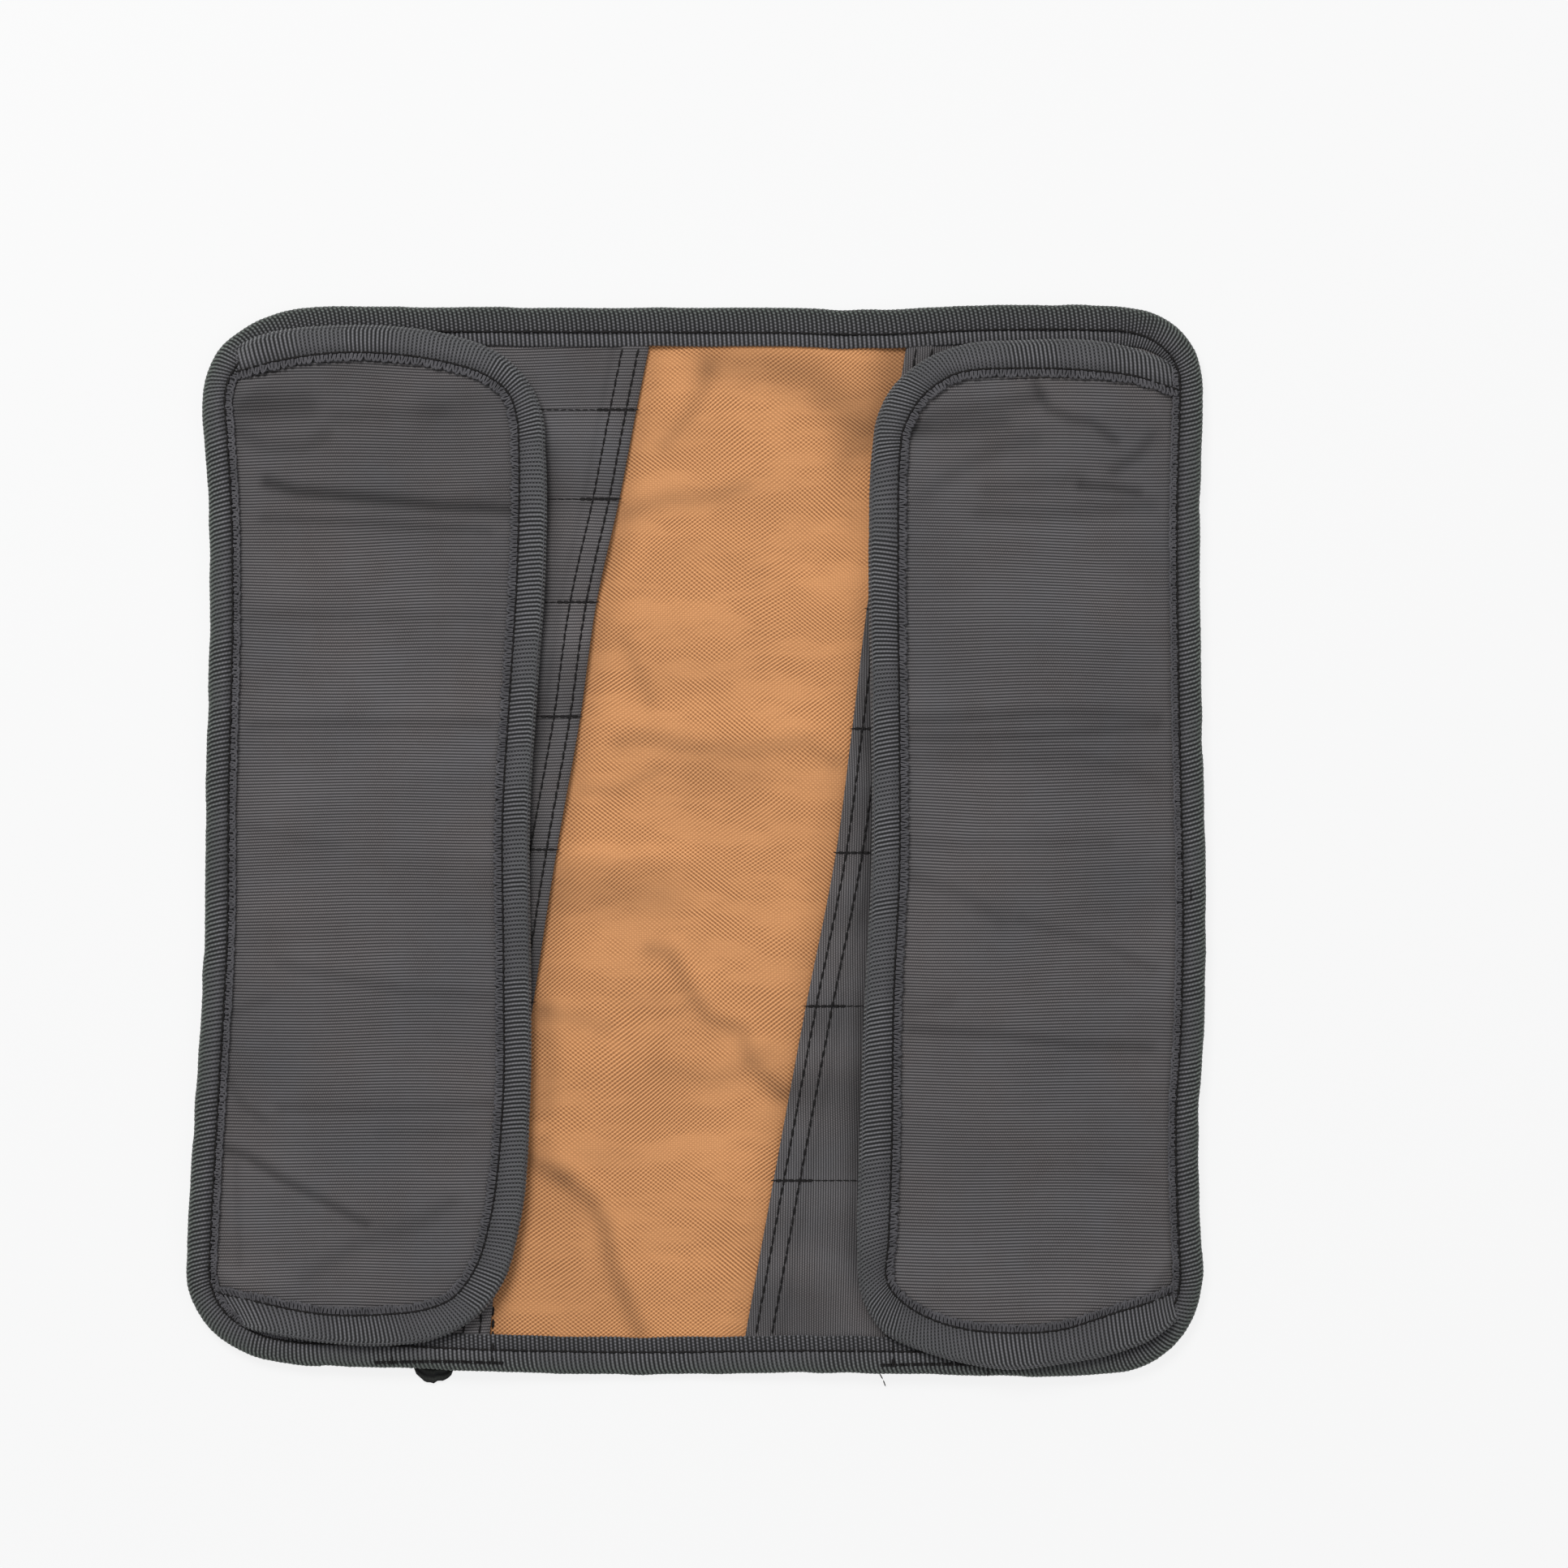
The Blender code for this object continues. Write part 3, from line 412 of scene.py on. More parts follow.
def swell(x, y, long, wide, seed):
    """Soft chance unevenness from none to one, with waves of the given sizes along X and Y."""
    table = np.random.default_rng(seed).random((97, 97))
    u, v = x / long + 40, y / wide + 40
    i, j = np.floor(u).astype(int), np.floor(v).astype(int)
    s, t = ease(u - i), ease(v - j)
    a, b = table[i % 97, j % 97], table[(i + 1) % 97, j % 97]
    c, d = table[i % 97, (j + 1) % 97], table[(i + 1) % 97, (j + 1) % 97]
    return (a * (1 - s) + b * s) * (1 - t) + (c * (1 - s) + d * s) * t


def swells(x, y, rows):
    """Several sets of soft waves as one, each row its share, its sizes along X and Y, and its seed."""
    return sum(share * swell(x, y, long, wide, seed) for share, long, wide, seed in rows)


def creases(x, y, rows):
    """Round ridges along lines, each row its rise or its depth of shadow, its width and its points."""
    height = 0 * x
    for rise, width, *line in rows:
        points = place(line)
        near = 0 * x + 1.0
        for a, b in zip(points, points[1:]):
            along = ((x - a[0]) * (b - a)[0] + (y - a[1]) * (b - a)[1]) / ((b - a) @ (b - a))
            along = np.clip(along, 0, 1)
            near = np.minimum(near, np.hypot(x - a[0] - along * (b - a)[0], y - a[1] - along * (b - a)[1]))
        height += rise * np.exp(-((near / width) ** 2))
    return height


def cloth(name, x, y, top, shade, thickness, finish):
    """A cloth of even thickness from a grid of points, wherever a cell has a height at all four corners."""
    there = ~np.isnan(top)
    cells = there[:-1, :-1] & there[1:, :-1] & there[:-1, 1:] & there[1:, 1:]
    index = np.arange(top.size).reshape(top.shape)
    quads = np.stack([index[:-1, :-1], index[:-1, 1:], index[1:, 1:], index[1:, :-1]], -1)[cells]
    used, quads = np.unique(quads, return_inverse=True)
    quads = quads.reshape(-1, 4)
    sides = np.concatenate([quads[:, [k, (k + 1) % 4]] for k in range(4)]).tolist()
    inner = {(b, a) for a, b in sides}
    rim = [[b, a, a + len(used), b + len(used)] for a, b in sides if (a, b) not in inner]
    upper = np.stack([x.ravel()[used], y.ravel()[used], top.ravel()[used]], -1)
    points = np.vstack([upper, upper - (0, 0, thickness)])
    faces = quads.tolist() + (quads[:, ::-1] + len(used)).tolist() + rim
    seen = shade.ravel()[used]
    return solid(name, points, faces, finish, shade=np.concatenate([seen, 0 * seen]))


def shaded(graph, colour):
    """Paints light on a fold's back and shade in its hollow and where shadows fall, together with an uneven
    tone, by the cloth's shade mark.
    """
    mark = graph.add("ShaderNodeAttribute", out=2, attribute_name="shade")
    return graph.scaled(colour, graph.math("ADD", mark, 1.0))


def basket_weave(name, light, dark):
    """Threads over and under each other: a chequer of light and dark ovals, faint where the cloth is flat."""
    made, graph, shader = finish(name, 0.8, 0.15)
    x, y, _ = graph.split(graph.add("ShaderNodeTexCoord", out=3))
    column = graph.math("MULTIPLY_ADD", x, 1 / TAN_COLUMN, bends(graph, 0.05, -1.5, 1.5))
    row = graph.math("MULTIPLY_ADD", y, 1 / TAN_ROW, bends(graph, 0.06, 2.0, -2.0))
    waves = [graph.math("COSINE", graph.times(count, np.pi)) for count in (column, row)]
    slopes = [graph.math(way, column, row) for way in ("ADD", "SUBTRACT")]
    rising, falling = (graph.math("COSINE", graph.times(slope, np.pi)) for slope in slopes)
    lean = bends(graph, 0.035, 0.15, 0.85)
    twill = graph.math("MULTIPLY_ADD", lean, graph.math("SUBTRACT", rising, falling), falling)
    over = graph.math("MULTIPLY_ADD", twill, 0.5, 0.5)
    grid = graph.times(*[graph.math("POWER", graph.math("ABSOLUTE", wave), 0.5) for wave in waves])
    strength = graph.math("MAXIMUM", clouds(graph, (0.04, 0.014, 1.0), 0.0, 1.7, 3.0), 0.25)
    flat = graph.math("MULTIPLY_ADD", grid, 0.3, 0.39)
    relief = graph.add("ShaderNodeMix", {0: strength, 2: flat, 3: over}, data_type="FLOAT")
    # painted shade: the colour darkens where a thread passes under its neighbours, between the raised ovals
    colour = graph.mix(relief, dark, light)
    worn = graph.scaled(colour, blotches(graph, 0.05, 0.95, 1.05))
    dress(graph, shader, shaded(graph, worn), relief, 0.0003)
    return made


tan_cloth = basket_weave("Tan basket weave", *TAN_COLOURS)
base_x, base_y = np.meshgrid(
    np.arange(body_low[0] - BASE_GRID, body_high[0] + 2 * BASE_GRID, BASE_GRID),
    np.arange(body_low[1] - BASE_GRID, body_high[1] + 2 * BASE_GRID, BASE_GRID),
)
base_top = settle(height_on(hull(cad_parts["base_panel"]), base_x, base_y), 4)
beside = np.abs(base_x - BARE_MIDDLE - BARE_SLANT * base_y)
bare = ease((BARE_HALF_WIDTH - beside) / 0.012) * ease((BARE_HALF_LENGTH - np.abs(base_y)) / 0.02)
folds = creases(base_x, base_y, BASE_CREASES)
base_top += bare * (BASE_WAVE * swells(base_x, base_y, BASE_WAVES) + CREASE_RISE * folds)
base_shade = CREASE_LIGHT * folds + BASE_TONE * (swells(base_x, base_y, BASE_TONES) - 0.5)
base_shade -= creases(base_x, base_y, BASE_SHADOWS)
body_cloth = cloth("body_cloth", base_x, base_y, base_top, base_shade, CLOTH_THICKNESS, tan_cloth)
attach(body_cloth, "root")
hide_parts("base_panel")

# Pockets. Two panels of grey ribbed cloth sewn on the body, facing each other, each mouth edge turned in to
# a hem of two layers. The left one is cut with the ribs across, the right one with the ribs up and down.
GREY_RIB = 0.00102
GREY_FINE_RIB = 0.00083
GREY_BEAD = 0.00083
# the grey cloth's colour on its ribs, and the darker painted shade for its grooves
GREY_COLOURS = ((0.188, 0.182, 0.19, 1), (0.015, 0.0145, 0.016, 1))
WARM_TINT = (1.06, 0.99, 0.94)
POCKET_GRID = 0.002
HEM_WIDTH = 0.0098
HEM_RISE = 0.0006
HEM_STEPS = (0.0, 0.0003, 0.0008, 0.0016, 0.0035, 0.006, 0.0085, 0.0095, 0.0102)
HEM_SHADOW = (0.12, 0.0122, 0.0012)
POCKET_WAVE = 0.0004
POCKET_SHADOWS = {
    # where the edge of each flap keeps the light off, as shares
    "left": [(0.352, 0.86), (0.352, 0.754), (0.344, 0.641), (0.337, 0.527), (0.338, 0.376), (0.326, 0.138)],
    "right": [(0.689, 0.917), (0.673, 0.863), (0.67, 0.78), (0.672, 0.471), (0.66, 0.201),
              (0.659, 0.119), (0.686, 0.042)],
}
MOUTHS = {
    # each row: (height of a seam or an end, where it crosses the mouth edge), from the top, as shares
    "left": [(0.9622, 0.4543), (0.9017, 0.4415), (0.8185, 0.4248), (0.7224, 0.4025), (0.6157, 0.3866),
             (0.4917, 0.3636), (0.3495, 0.3405), (0.1868, 0.3142), (0.0371, 0.2975)],
    "right": [(0.9622, 0.7064), (0.9017, 0.6961), (0.8185, 0.6834), (0.7163, 0.6675), (0.6044, 0.6531),
              (0.4887, 0.6372), (0.3457, 0.6078), (0.1831, 0.576), (0.0371, 0.5481)],
}
INWARD = {"left": 1, "right": -1}


def spline(points, step):
    """A smooth curve through rows of points, as rows about one step apart."""
    p = np.asarray(points, float)
    h = np.linalg.norm(np.diff(p[:, :2], axis=0), axis=1)
    slope = np.diff(p, axis=0) / h[:, None]
    middle = (slope[:-1] * h[1:, None] + slope[1:] * h[:-1, None]) / (h[:-1] + h[1:])[:, None]
    tangent = np.vstack([slope[:1], middle, slope[-1:]])
    rows = []
    for i, length in enumerate(h):
        t = (np.arange(max(1, round(length / step))) / max(1, round(length / step)))[:, None]
        a, b = (2 * t**3 - 3 * t**2 + 1), (t**3 - 2 * t**2 + t) * length
        c, d = (3 * t**2 - 2 * t**3), (t**3 - t**2) * length
        rows.append(a * p[i] + b * tangent[i] + c * p[i + 1] + d * tangent[i + 1])
    return np.vstack(rows + [p[-1:]])


def mouth_x(side, y):
    line = spline(place([(x, v) for v, x in MOUTHS[side]]), 0.002)[::-1]
    return np.interp(y, line[:, 1], line[:, 0])


def ribbed_cloth(name, light, dark, rib, upright):
    """Fine ribs with a bead where each thread crosses, a little bent and unevenly dyed."""
    made, graph, shader = finish(name, 0.85, 0.12)
    x, y, _ = graph.split(graph.add("ShaderNodeTexCoord", out=3))
    across, along = (x, y) if upright else (y, x)
    count = graph.math("MULTIPLY_ADD", across, 1 / rib, bends(graph, 0.07, -0.9, 0.9))
    bead = graph.beads(graph.times(along, 1 / GREY_BEAD), count)
    share = blotches(graph, 0.015, 0.1, 0.5)
    dots = graph.math("SUBTRACT", 1.0, graph.times(share, graph.math("SUBTRACT", 1.0, bead)))
    relief = graph.times(graph.ridge(count, 1.25), dots)
    # painted shade: the colour darkens from the light one to the dark one in the grooves between the ribs and
    # between the beads
    colour = graph.mix(relief, dark, light)
    hue = graph.mix(blotches(graph, 0.03, 0.0, 1.0), colour, graph.by_parts(colour, WARM_TINT))
    worn = graph.scaled(hue, blotches(graph, 0.06, 0.9, 1.1))
    dress(graph, shader, shaded(graph, worn), relief, 0.00026)
    return made


def pocket_panel(side, finish):
    """Rows of points from the mouth edge in to the side, over the node, with the hem's extra layer."""
    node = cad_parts["pocket_panel_" + side]
    low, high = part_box("pocket_panel_" + side)
    reach = np.concatenate([HEM_STEPS, np.arange(HEM_STEPS[-1] + POCKET_GRID, high.x - low.x, POCKET_GRID)])
    rows = np.arange(low.y - POCKET_GRID, high.y + 2 * POCKET_GRID, POCKET_GRID)
    far, y = np.meshgrid(reach, rows)
    sign = INWARD[side]
    x = mouth_x(side, y) - sign * far
    tree = hull(node)
    top = height_on(tree, np.where(far < 0.001, x - sign * 0.001, x), y)
    top = settle(np.column_stack([np.full(len(top), np.nan), top]), 3)[:, 1:]
    hem = HEM_RISE * ease((HEM_WIDTH - far) / 0.001) * (0.35 + 0.65 * ease(far / 0.0012))
    wave = POCKET_WAVE * swell(x, y, 0.03, 0.012, 7) * ease(far / 0.01)
    top += hem + wave - 0.0003 * (1 - ease(far / 0.0012))
    if sign > 0:
        x, y, top = x[:, ::-1], y[:, ::-1], top[:, ::-1]
    # painted shadow in a narrow band just beyond the hem's inner edge, and painted shadow along the edge of
    # the flap, on an uneven tone
    depth, spot, width = HEM_SHADOW
    hem_shadow_band = np.exp(-(((far[:, :: -sign] - spot) / width) ** 2))
    shade = 0.4 * (swell(x, y, 0.035, 0.012, 8) - 0.5) - depth * hem_shadow_band
    shade -= creases(x, y, [(0.35, 0.0045, *POCKET_SHADOWS[side])])
    made = cloth("pocket_cloth_" + side, x, y, top, shade, CLOTH_THICKNESS, finish)
    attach(made, "root")
    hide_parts("pocket_panel_" + side)
    width, length = high.x - low.x, high.y - low.y
    return made


grey_across = ribbed_cloth("Grey cloth ribbed across", *GREY_COLOURS, GREY_RIB, upright=False)
grey_upright = ribbed_cloth("Grey cloth ribbed upright", *GREY_COLOURS, GREY_FINE_RIB, upright=True)
pockets = {"left": pocket_panel("left", grey_across), "right": pocket_panel("right", grey_upright)}

# Flaps. Two pieces of the grey ribbed cloth, sewn in at the sides and folded in over the pockets.
# They keep the folds of rolling: a deep line and slanting ones on the left, cross lines on the right.
FLAP_GRID = 0.0014
FLAP_WAVE = 0.0008
FLAP_FOLD_DEPTH = 0.0018
FLAP_DIM = {"left": 0.14, "right": 0.0}
FLAP_TONE = 0.12
FLAP_FOLD_SHADE = 0.9
FLAP_STILL = {"root": 0.01, "edge": 0.012, "ends": 0.014}
FLAP_BLEND = 0.006
FLAP_ROOT = 0.03
FLAP_TUCK = 0.0015
FLAP_ENDS = {"left": (0.068, 0.945), "right": (0.078, 0.928)}
SEWN_DEPTH = 0.005
FLAP_SLOPE = 0.5
REACHES = {"left": 0.009, "right": 0.0092, "top": 0.013, "bottom": 0.0125}
STITCHES_IN = {"left": 0.0081, "right": 0.008, "top": 0.0086, "bottom": 0.0078}
FACE_SHARE = 0.4
TIP_SHARE = 0.85
# columns of a tape's path: its reach, and the heights of its underside, top and inner edge
REACH, LOW, HIGH, TIP = 4, 6, 7, 8
CORNERS = [
    # (centre_x, centre_y, radius_x, radius_y, power, first angle), from the bottom left on, as shares
    (0.136, 0.1036, 0.136, 0.0938, 2.3, 180),
    (0.9029, 0.0961, 0.0947, 0.0938, 2.0, -90),
    (0.9029, 0.9206, 0.0947, 0.0787, 2.2, 0),
    (0.1519, 0.9054, 0.1368, 0.0938, 2.3, 90),
]
EDGES = [
    # the bows of the edge after each corner: rows of (x, y), as shares
    [(0.1997, 0.0083), (0.2951, 0.0045), (0.4383, 0.0015), (0.6134, 0.0034), (0.7725, 0.0015), (0.8361, 0.0)],
    [(0.9944, 0.1641), (0.9932, 0.2474), (0.9976, 0.3154), (1.0, 0.4062), (0.996, 0.6331), (0.9944, 0.8147)],
    [(0.852, 1.0), (0.7725, 0.9992), (0.677, 0.9955), (0.5815, 0.997), (0.3747, 0.9977), (0.1997, 0.9985)],
    [(0.0215, 0.8147), (0.0231, 0.7239), (0.0191, 0.5424), (0.0175, 0.4062), (0.0095, 0.27),
     (0.004, 0.1793)],
]
FLAP_FOLDS = {
    # each row: (depth, width, point, point ...), the depth in the share of light lost, points as shares
    "left": [
        (0.52, 0.0024, (0.0797, 0.8336), (0.1098, 0.825), (0.185, 0.8179), (0.2526, 0.8107),
         (0.3203, 0.8086)),
        (0.22, 0.0018, (0.0759, 0.7993), (0.185, 0.7943), (0.2977, 0.7872)),
        (0.26, 0.005, (0.0534, 0.9049), (0.1173, 0.9049)),
        (0.22, 0.006, (0.2451, 0.9013), (0.3128, 0.9049)),
        (0.15, 0.0025, (0.1474, 0.8942), (0.2526, 0.8992)),
        (0.22, 0.003, (0.0534, 0.88), (0.0797, 0.8657), (0.1173, 0.8657), (0.1361, 0.8764)),
        (0.13, 0.0022, (0.0647, 0.7095), (0.2977, 0.7074)),
        (0.22, 0.002, (0.0647, 0.606), (0.1474, 0.6088), (0.2977, 0.6088)),
        (0.13, 0.0022, (0.0534, 0.5141), (0.1098, 0.4998), (0.1474, 0.4948)),
        (0.19, 0.0024, (0.0947, 0.384), (0.1474, 0.3733), (0.215, 0.359), (0.2977, 0.354)),
        (0.15, 0.002, (0.0421, 0.3376), (0.0797, 0.3518)),
        (0.22, 0.0018, (0.0421, 0.2769), (0.0571, 0.2519), (0.0759, 0.2398)),
        (0.2, 0.002, (0.0947, 0.2498), (0.2, 0.2484), (0.2977, 0.2541)),
        (0.12, 0.0022, (0.1925, 0.2269), (0.2827, 0.2269)),
        (0.44, 0.0018, (0.0346, 0.2141), (0.0609, 0.2055), (0.0947, 0.1841), (0.1323, 0.1663),
         (0.1774, 0.1427)),
        (0.15, 0.0014, (0.0496, 0.1984), (0.0534, 0.1056)),
        (0.18, 0.0032, (0.1173, 0.0914), (0.1699, 0.1235), (0.2301, 0.1413), (0.2602, 0.1627)),
    ],
    "right": [
        (0.32, 0.0034, (0.7113, 0.8835), (0.7338, 0.8942), (0.8015, 0.9049), (0.8316, 0.912)),
        (0.28, 0.0028, (0.7113, 0.88), (0.8015, 0.8892)),
        (0.4, 0.002, (0.8316, 0.9263), (0.8466, 0.9013), (0.8692, 0.8921), (0.888, 0.8892),
         (0.9105, 0.8728)),
        (0.32, 0.0024, (0.9105, 0.8443), (0.9331, 0.8586), (0.9459, 0.8764)),
        (0.2, 0.003, (0.7865, 0.825), (0.8316, 0.83), (0.8767, 0.8371)),
        (0.46, 0.0018, (0.8767, 0.83), (0.9068, 0.8286), (0.9331, 0.8243)),
        (0.24, 0.003, (0.779, 0.8036), (0.8617, 0.8036), (0.9444, 0.8121)),
        (0.2, 0.0032, (0.7226, 0.8193), (0.7564, 0.8443), (0.794, 0.8621), (0.8316, 0.8728)),
        (0.28, 0.0024, (0.7113, 0.6109), (0.8015, 0.6159), (0.8617, 0.618), (0.9519, 0.615)),
        (0.28, 0.0018, (0.7113, 0.5945), (0.8316, 0.5966), (0.9519, 0.6066)),
        (0.15, 0.003, (0.7113, 0.578), (0.8767, 0.5766), (0.9519, 0.5552)),
        (0.13, 0.0022, (0.7188, 0.4967), (0.9068, 0.4953)),
        (0.18, 0.003, (0.7113, 0.466), (0.7639, 0.4482), (0.8015, 0.4232)),
        (0.2, 0.002, (0.8165, 0.4254), (0.8992, 0.4018), (0.9481, 0.3804)),
        (0.15, 0.0022, (0.7113, 0.3411), (0.7489, 0.3483)),
        (0.3, 0.0021, (0.7113, 0.3233), (0.8015, 0.3183), (0.8692, 0.309), (0.9444, 0.3069)),
        (0.12, 0.0022, (0.8992, 0.1913), (0.9519, 0.1806)),
    ],
}


def corner(row):
    cx, cy, rx, ry, power, first = row
    angle = np.radians(first + np.linspace(0, 90, 33))
    x = cx + rx * np.sign(np.cos(angle)) * np.abs(np.cos(angle)) ** (2 / power)
    y = cy + ry * np.sign(np.sin(angle)) * np.abs(np.sin(angle)) ** (2 / power)
    return place(np.stack([x, y], axis=1))


def outline():
    """The body's edge as a closed row of points, anticlockwise from the bottom left, and its ways in."""
    rows = []
    for k, edge in enumerate(EDGES):
        after = corner(CORNERS[(k + 1) % 4])
        run = np.vstack([corner(CORNERS[k])[-1:], place(edge), after[:1]])
        rows += [spline(run, 0.002)[:-1], spline(after, 0.002)[:-1]]
    points = np.vstack(rows)
    tangent = np.roll(points, -3, axis=0) - np.roll(points, 3, axis=0)
    tangent /= np.linalg.norm(tangent, axis=1)[:, None]
    return points, np.stack([-tangent[:, 1], tangent[:, 0]], axis=1)


def by_side(sizes, inward):
    """A size at each point of the edge, by the side that it faces, blended round the corners."""
    facing = inward**2
    across = np.where(inward[:, 0] > 0, sizes["left"], sizes["right"])
    along = np.where(inward[:, 1] > 0, sizes["bottom"], sizes["top"])
    return facing[:, 0] * across + facing[:, 1] * along


def travelled(points):
    return np.concatenate([[0.0], np.cumsum(np.linalg.norm(np.diff(points[:, :2], axis=0), axis=1))])


def calm(values, passes, closed):
    """Smooths a row of measured values along a path."""
    for _ in range(passes):
        ahead, behind = np.roll(values, -1), np.roll(values, 1)
        if not closed:
            ahead[-1], behind[0] = values[-1], values[0]
        values = (values + ahead + behind) / 3
    return values


def measured(node, outer, inward, reach, seam, closed):
    """Path of a folded tape, in columns: outer edge, way in, reach, seam, and three heights."""
    tree = hull(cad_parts[node])
    columns = [outer, inward, reach[:, None], seam[:, None]]
    for share, up in ((FACE_SHARE, True), (FACE_SHARE, False), (TIP_SHARE, False)):
        at = outer + inward * (reach * share)[:, None]
        level = height_on(tree, *at.T, up=up)
        level = np.where(np.isnan(level), np.nanmean(level), level)
        columns.append(calm(level, 8, closed)[:, None])
    return np.hstack(columns)


def depth_in(x, y):
    """How far each point lies inside the body's edge, and the nearest place along the edge."""
    points = np.stack([np.ravel(x), np.ravel(y)], -1)
    parts = np.array_split(points, 64)
    nearest = np.concatenate([((part[:, None] - rim) ** 2).sum(-1).argmin(1) for part in parts])
    depth = ((points - rim[nearest]) * rim_in[nearest]).sum(-1)
    return depth.reshape(np.shape(x)), nearest.reshape(np.shape(x))


def under_rim(x, y, drop, slope):
    """The height below which a piece passes under the body tape, rising inwards from its inner edge."""
    depth, nearest = depth_in(x, y)
    return rim_path[nearest, TIP] - drop + slope * np.maximum(depth - rim_reach[nearest], 0)


def flap(side, finish):
    low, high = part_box("flap_" + side)
    x, y = np.meshgrid(
        np.arange(low.x - FLAP_GRID, high.x + 2 * FLAP_GRID, FLAP_GRID),
        np.arange(low.y - FLAP_GRID, high.y + 2 * FLAP_GRID, FLAP_GRID),
    )
    top = height_on(hull(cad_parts["flap_" + side]), x, y)
    sign = INWARD[side]
    from_side = x - low.x if sign > 0 else high.x - x
    ends = place([(0.0, share) for share in FLAP_ENDS[side]])[:, 1]
    missing = np.isnan(top) & (depth_in(x, y)[0] > SEWN_DEPTH) & (from_side < FLAP_ROOT)
    missing &= (y > ends[0]) & (y < ends[1])
    for _ in range(12):
        top = np.where(missing, widen(top), top)
    top = settle(top, 4)
    root, edge, ends = FLAP_STILL.values()
    inner = ease((from_side - root) / (2 * FLAP_BLEND))
    inner = inner * ease((high.x - low.x - from_side - edge) / FLAP_BLEND)
    inner = inner * ease((high.y - ends - y) / FLAP_BLEND) * ease((y - low.y - ends) / FLAP_BLEND)
    waves = swells(x, y, [(0.6, 0.05, 0.012, 11 + sign), (0.4, 0.02, 0.007, 15 + sign)])
    folds = creases(x, y, FLAP_FOLDS[side])
    top += inner * (FLAP_WAVE * (waves - 0.5) - FLAP_FOLD_DEPTH * folds)
    beside = ease((FLAP_ROOT - from_side) / FLAP_BLEND)
    top -= beside * np.maximum(top - under_rim(x, y, FLAP_TUCK, FLAP_SLOPE), 0)
    tone = FLAP_TONE * (swell(x, y, 0.07, 0.01, 17 + sign) - 0.5)
    shade = tone - FLAP_FOLD_SHADE * folds - FLAP_DIM[side] * ease((y - 0.085) / 0.03)
    made = cloth("flap_cloth_" + side, x, y, top, shade, CLOTH_THICKNESS, finish)
    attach(made, "root")
    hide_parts("flap_" + side)


rim, rim_in = outline()
rim_s = travelled(rim)
rim_reach = by_side(REACHES, rim_in)
rim_seam = by_side(STITCHES_IN, rim_in)
wobble = 0.0005 * (swell(rim_s, 0 * rim_s, 0.009, 1.0, 31) - 0.5)
rim_outer = rim + rim_in * (0.0003 + wobble)[:, None]
rim_path = measured("body_binding", rim_outer, rim_in, rim_reach, rim_seam, True)
for side in INWARD:
    flap(side, grey_across)

# Flap tapes. Grey webbing 25 mm wide, folded in half over the free edges of each flap and sewn through once.
# Its edge inside the stitching is a row of small loops, and it is gathered round the corners.
FLAP_RIB = 0.00145
TAPE_RIB_HEIGHT = 0.00036
TAPE_THICKNESS = 0.0009
TAPE_ROUND = 0.0019
# the grey webbing's colour on its ribs, and the darker painted shade for its hollows
TAPE_COLOURS = ((0.232, 0.228, 0.243, 1), (0.003, 0.0029, 0.0034, 1))
LOOP_COLOURS = ((0.15, 0.146, 0.156, 1), (0.028, 0.027, 0.03, 1))
FLAP_STRIP = 0.0031
TUCKS = {"left": (0.005, 0.007), "right": (0.007, 0.007)}
TUCK_BLEND = 0.01
TUCK_DROP = 0.0008
TUCK_SLOPE = 0.6
FLAP_LOOP = 0.0026
LOOP_STRAND = 0.00043
GROOVE = 0.0004
STRIP_DROP = 0.0007
STRIP_INSET = 0.0006
LOOP_START = 0.0003
CORD_INSET = 0.0007
FLAP_GLOOM = 0.35
ROUND_TURNS = (-65, -35, 0, 35, 65)
# how strongly the points round the outer edge and onto the top take the painted reflection
ROUND_REFLECTION = (0.3, 0.7, 1.0, 1.0, 0.9, 0.5, 0.1)
STRIP_SHADES = (-0.5, -0.7, -1.0, -1.0)
FLAP_LEAN = 0.13
START_LEAN = 0.25
START_LEAN_LENGTH = 0.02
EDGE_TWIST = -0.5
EDGE_TURN = 0.0024
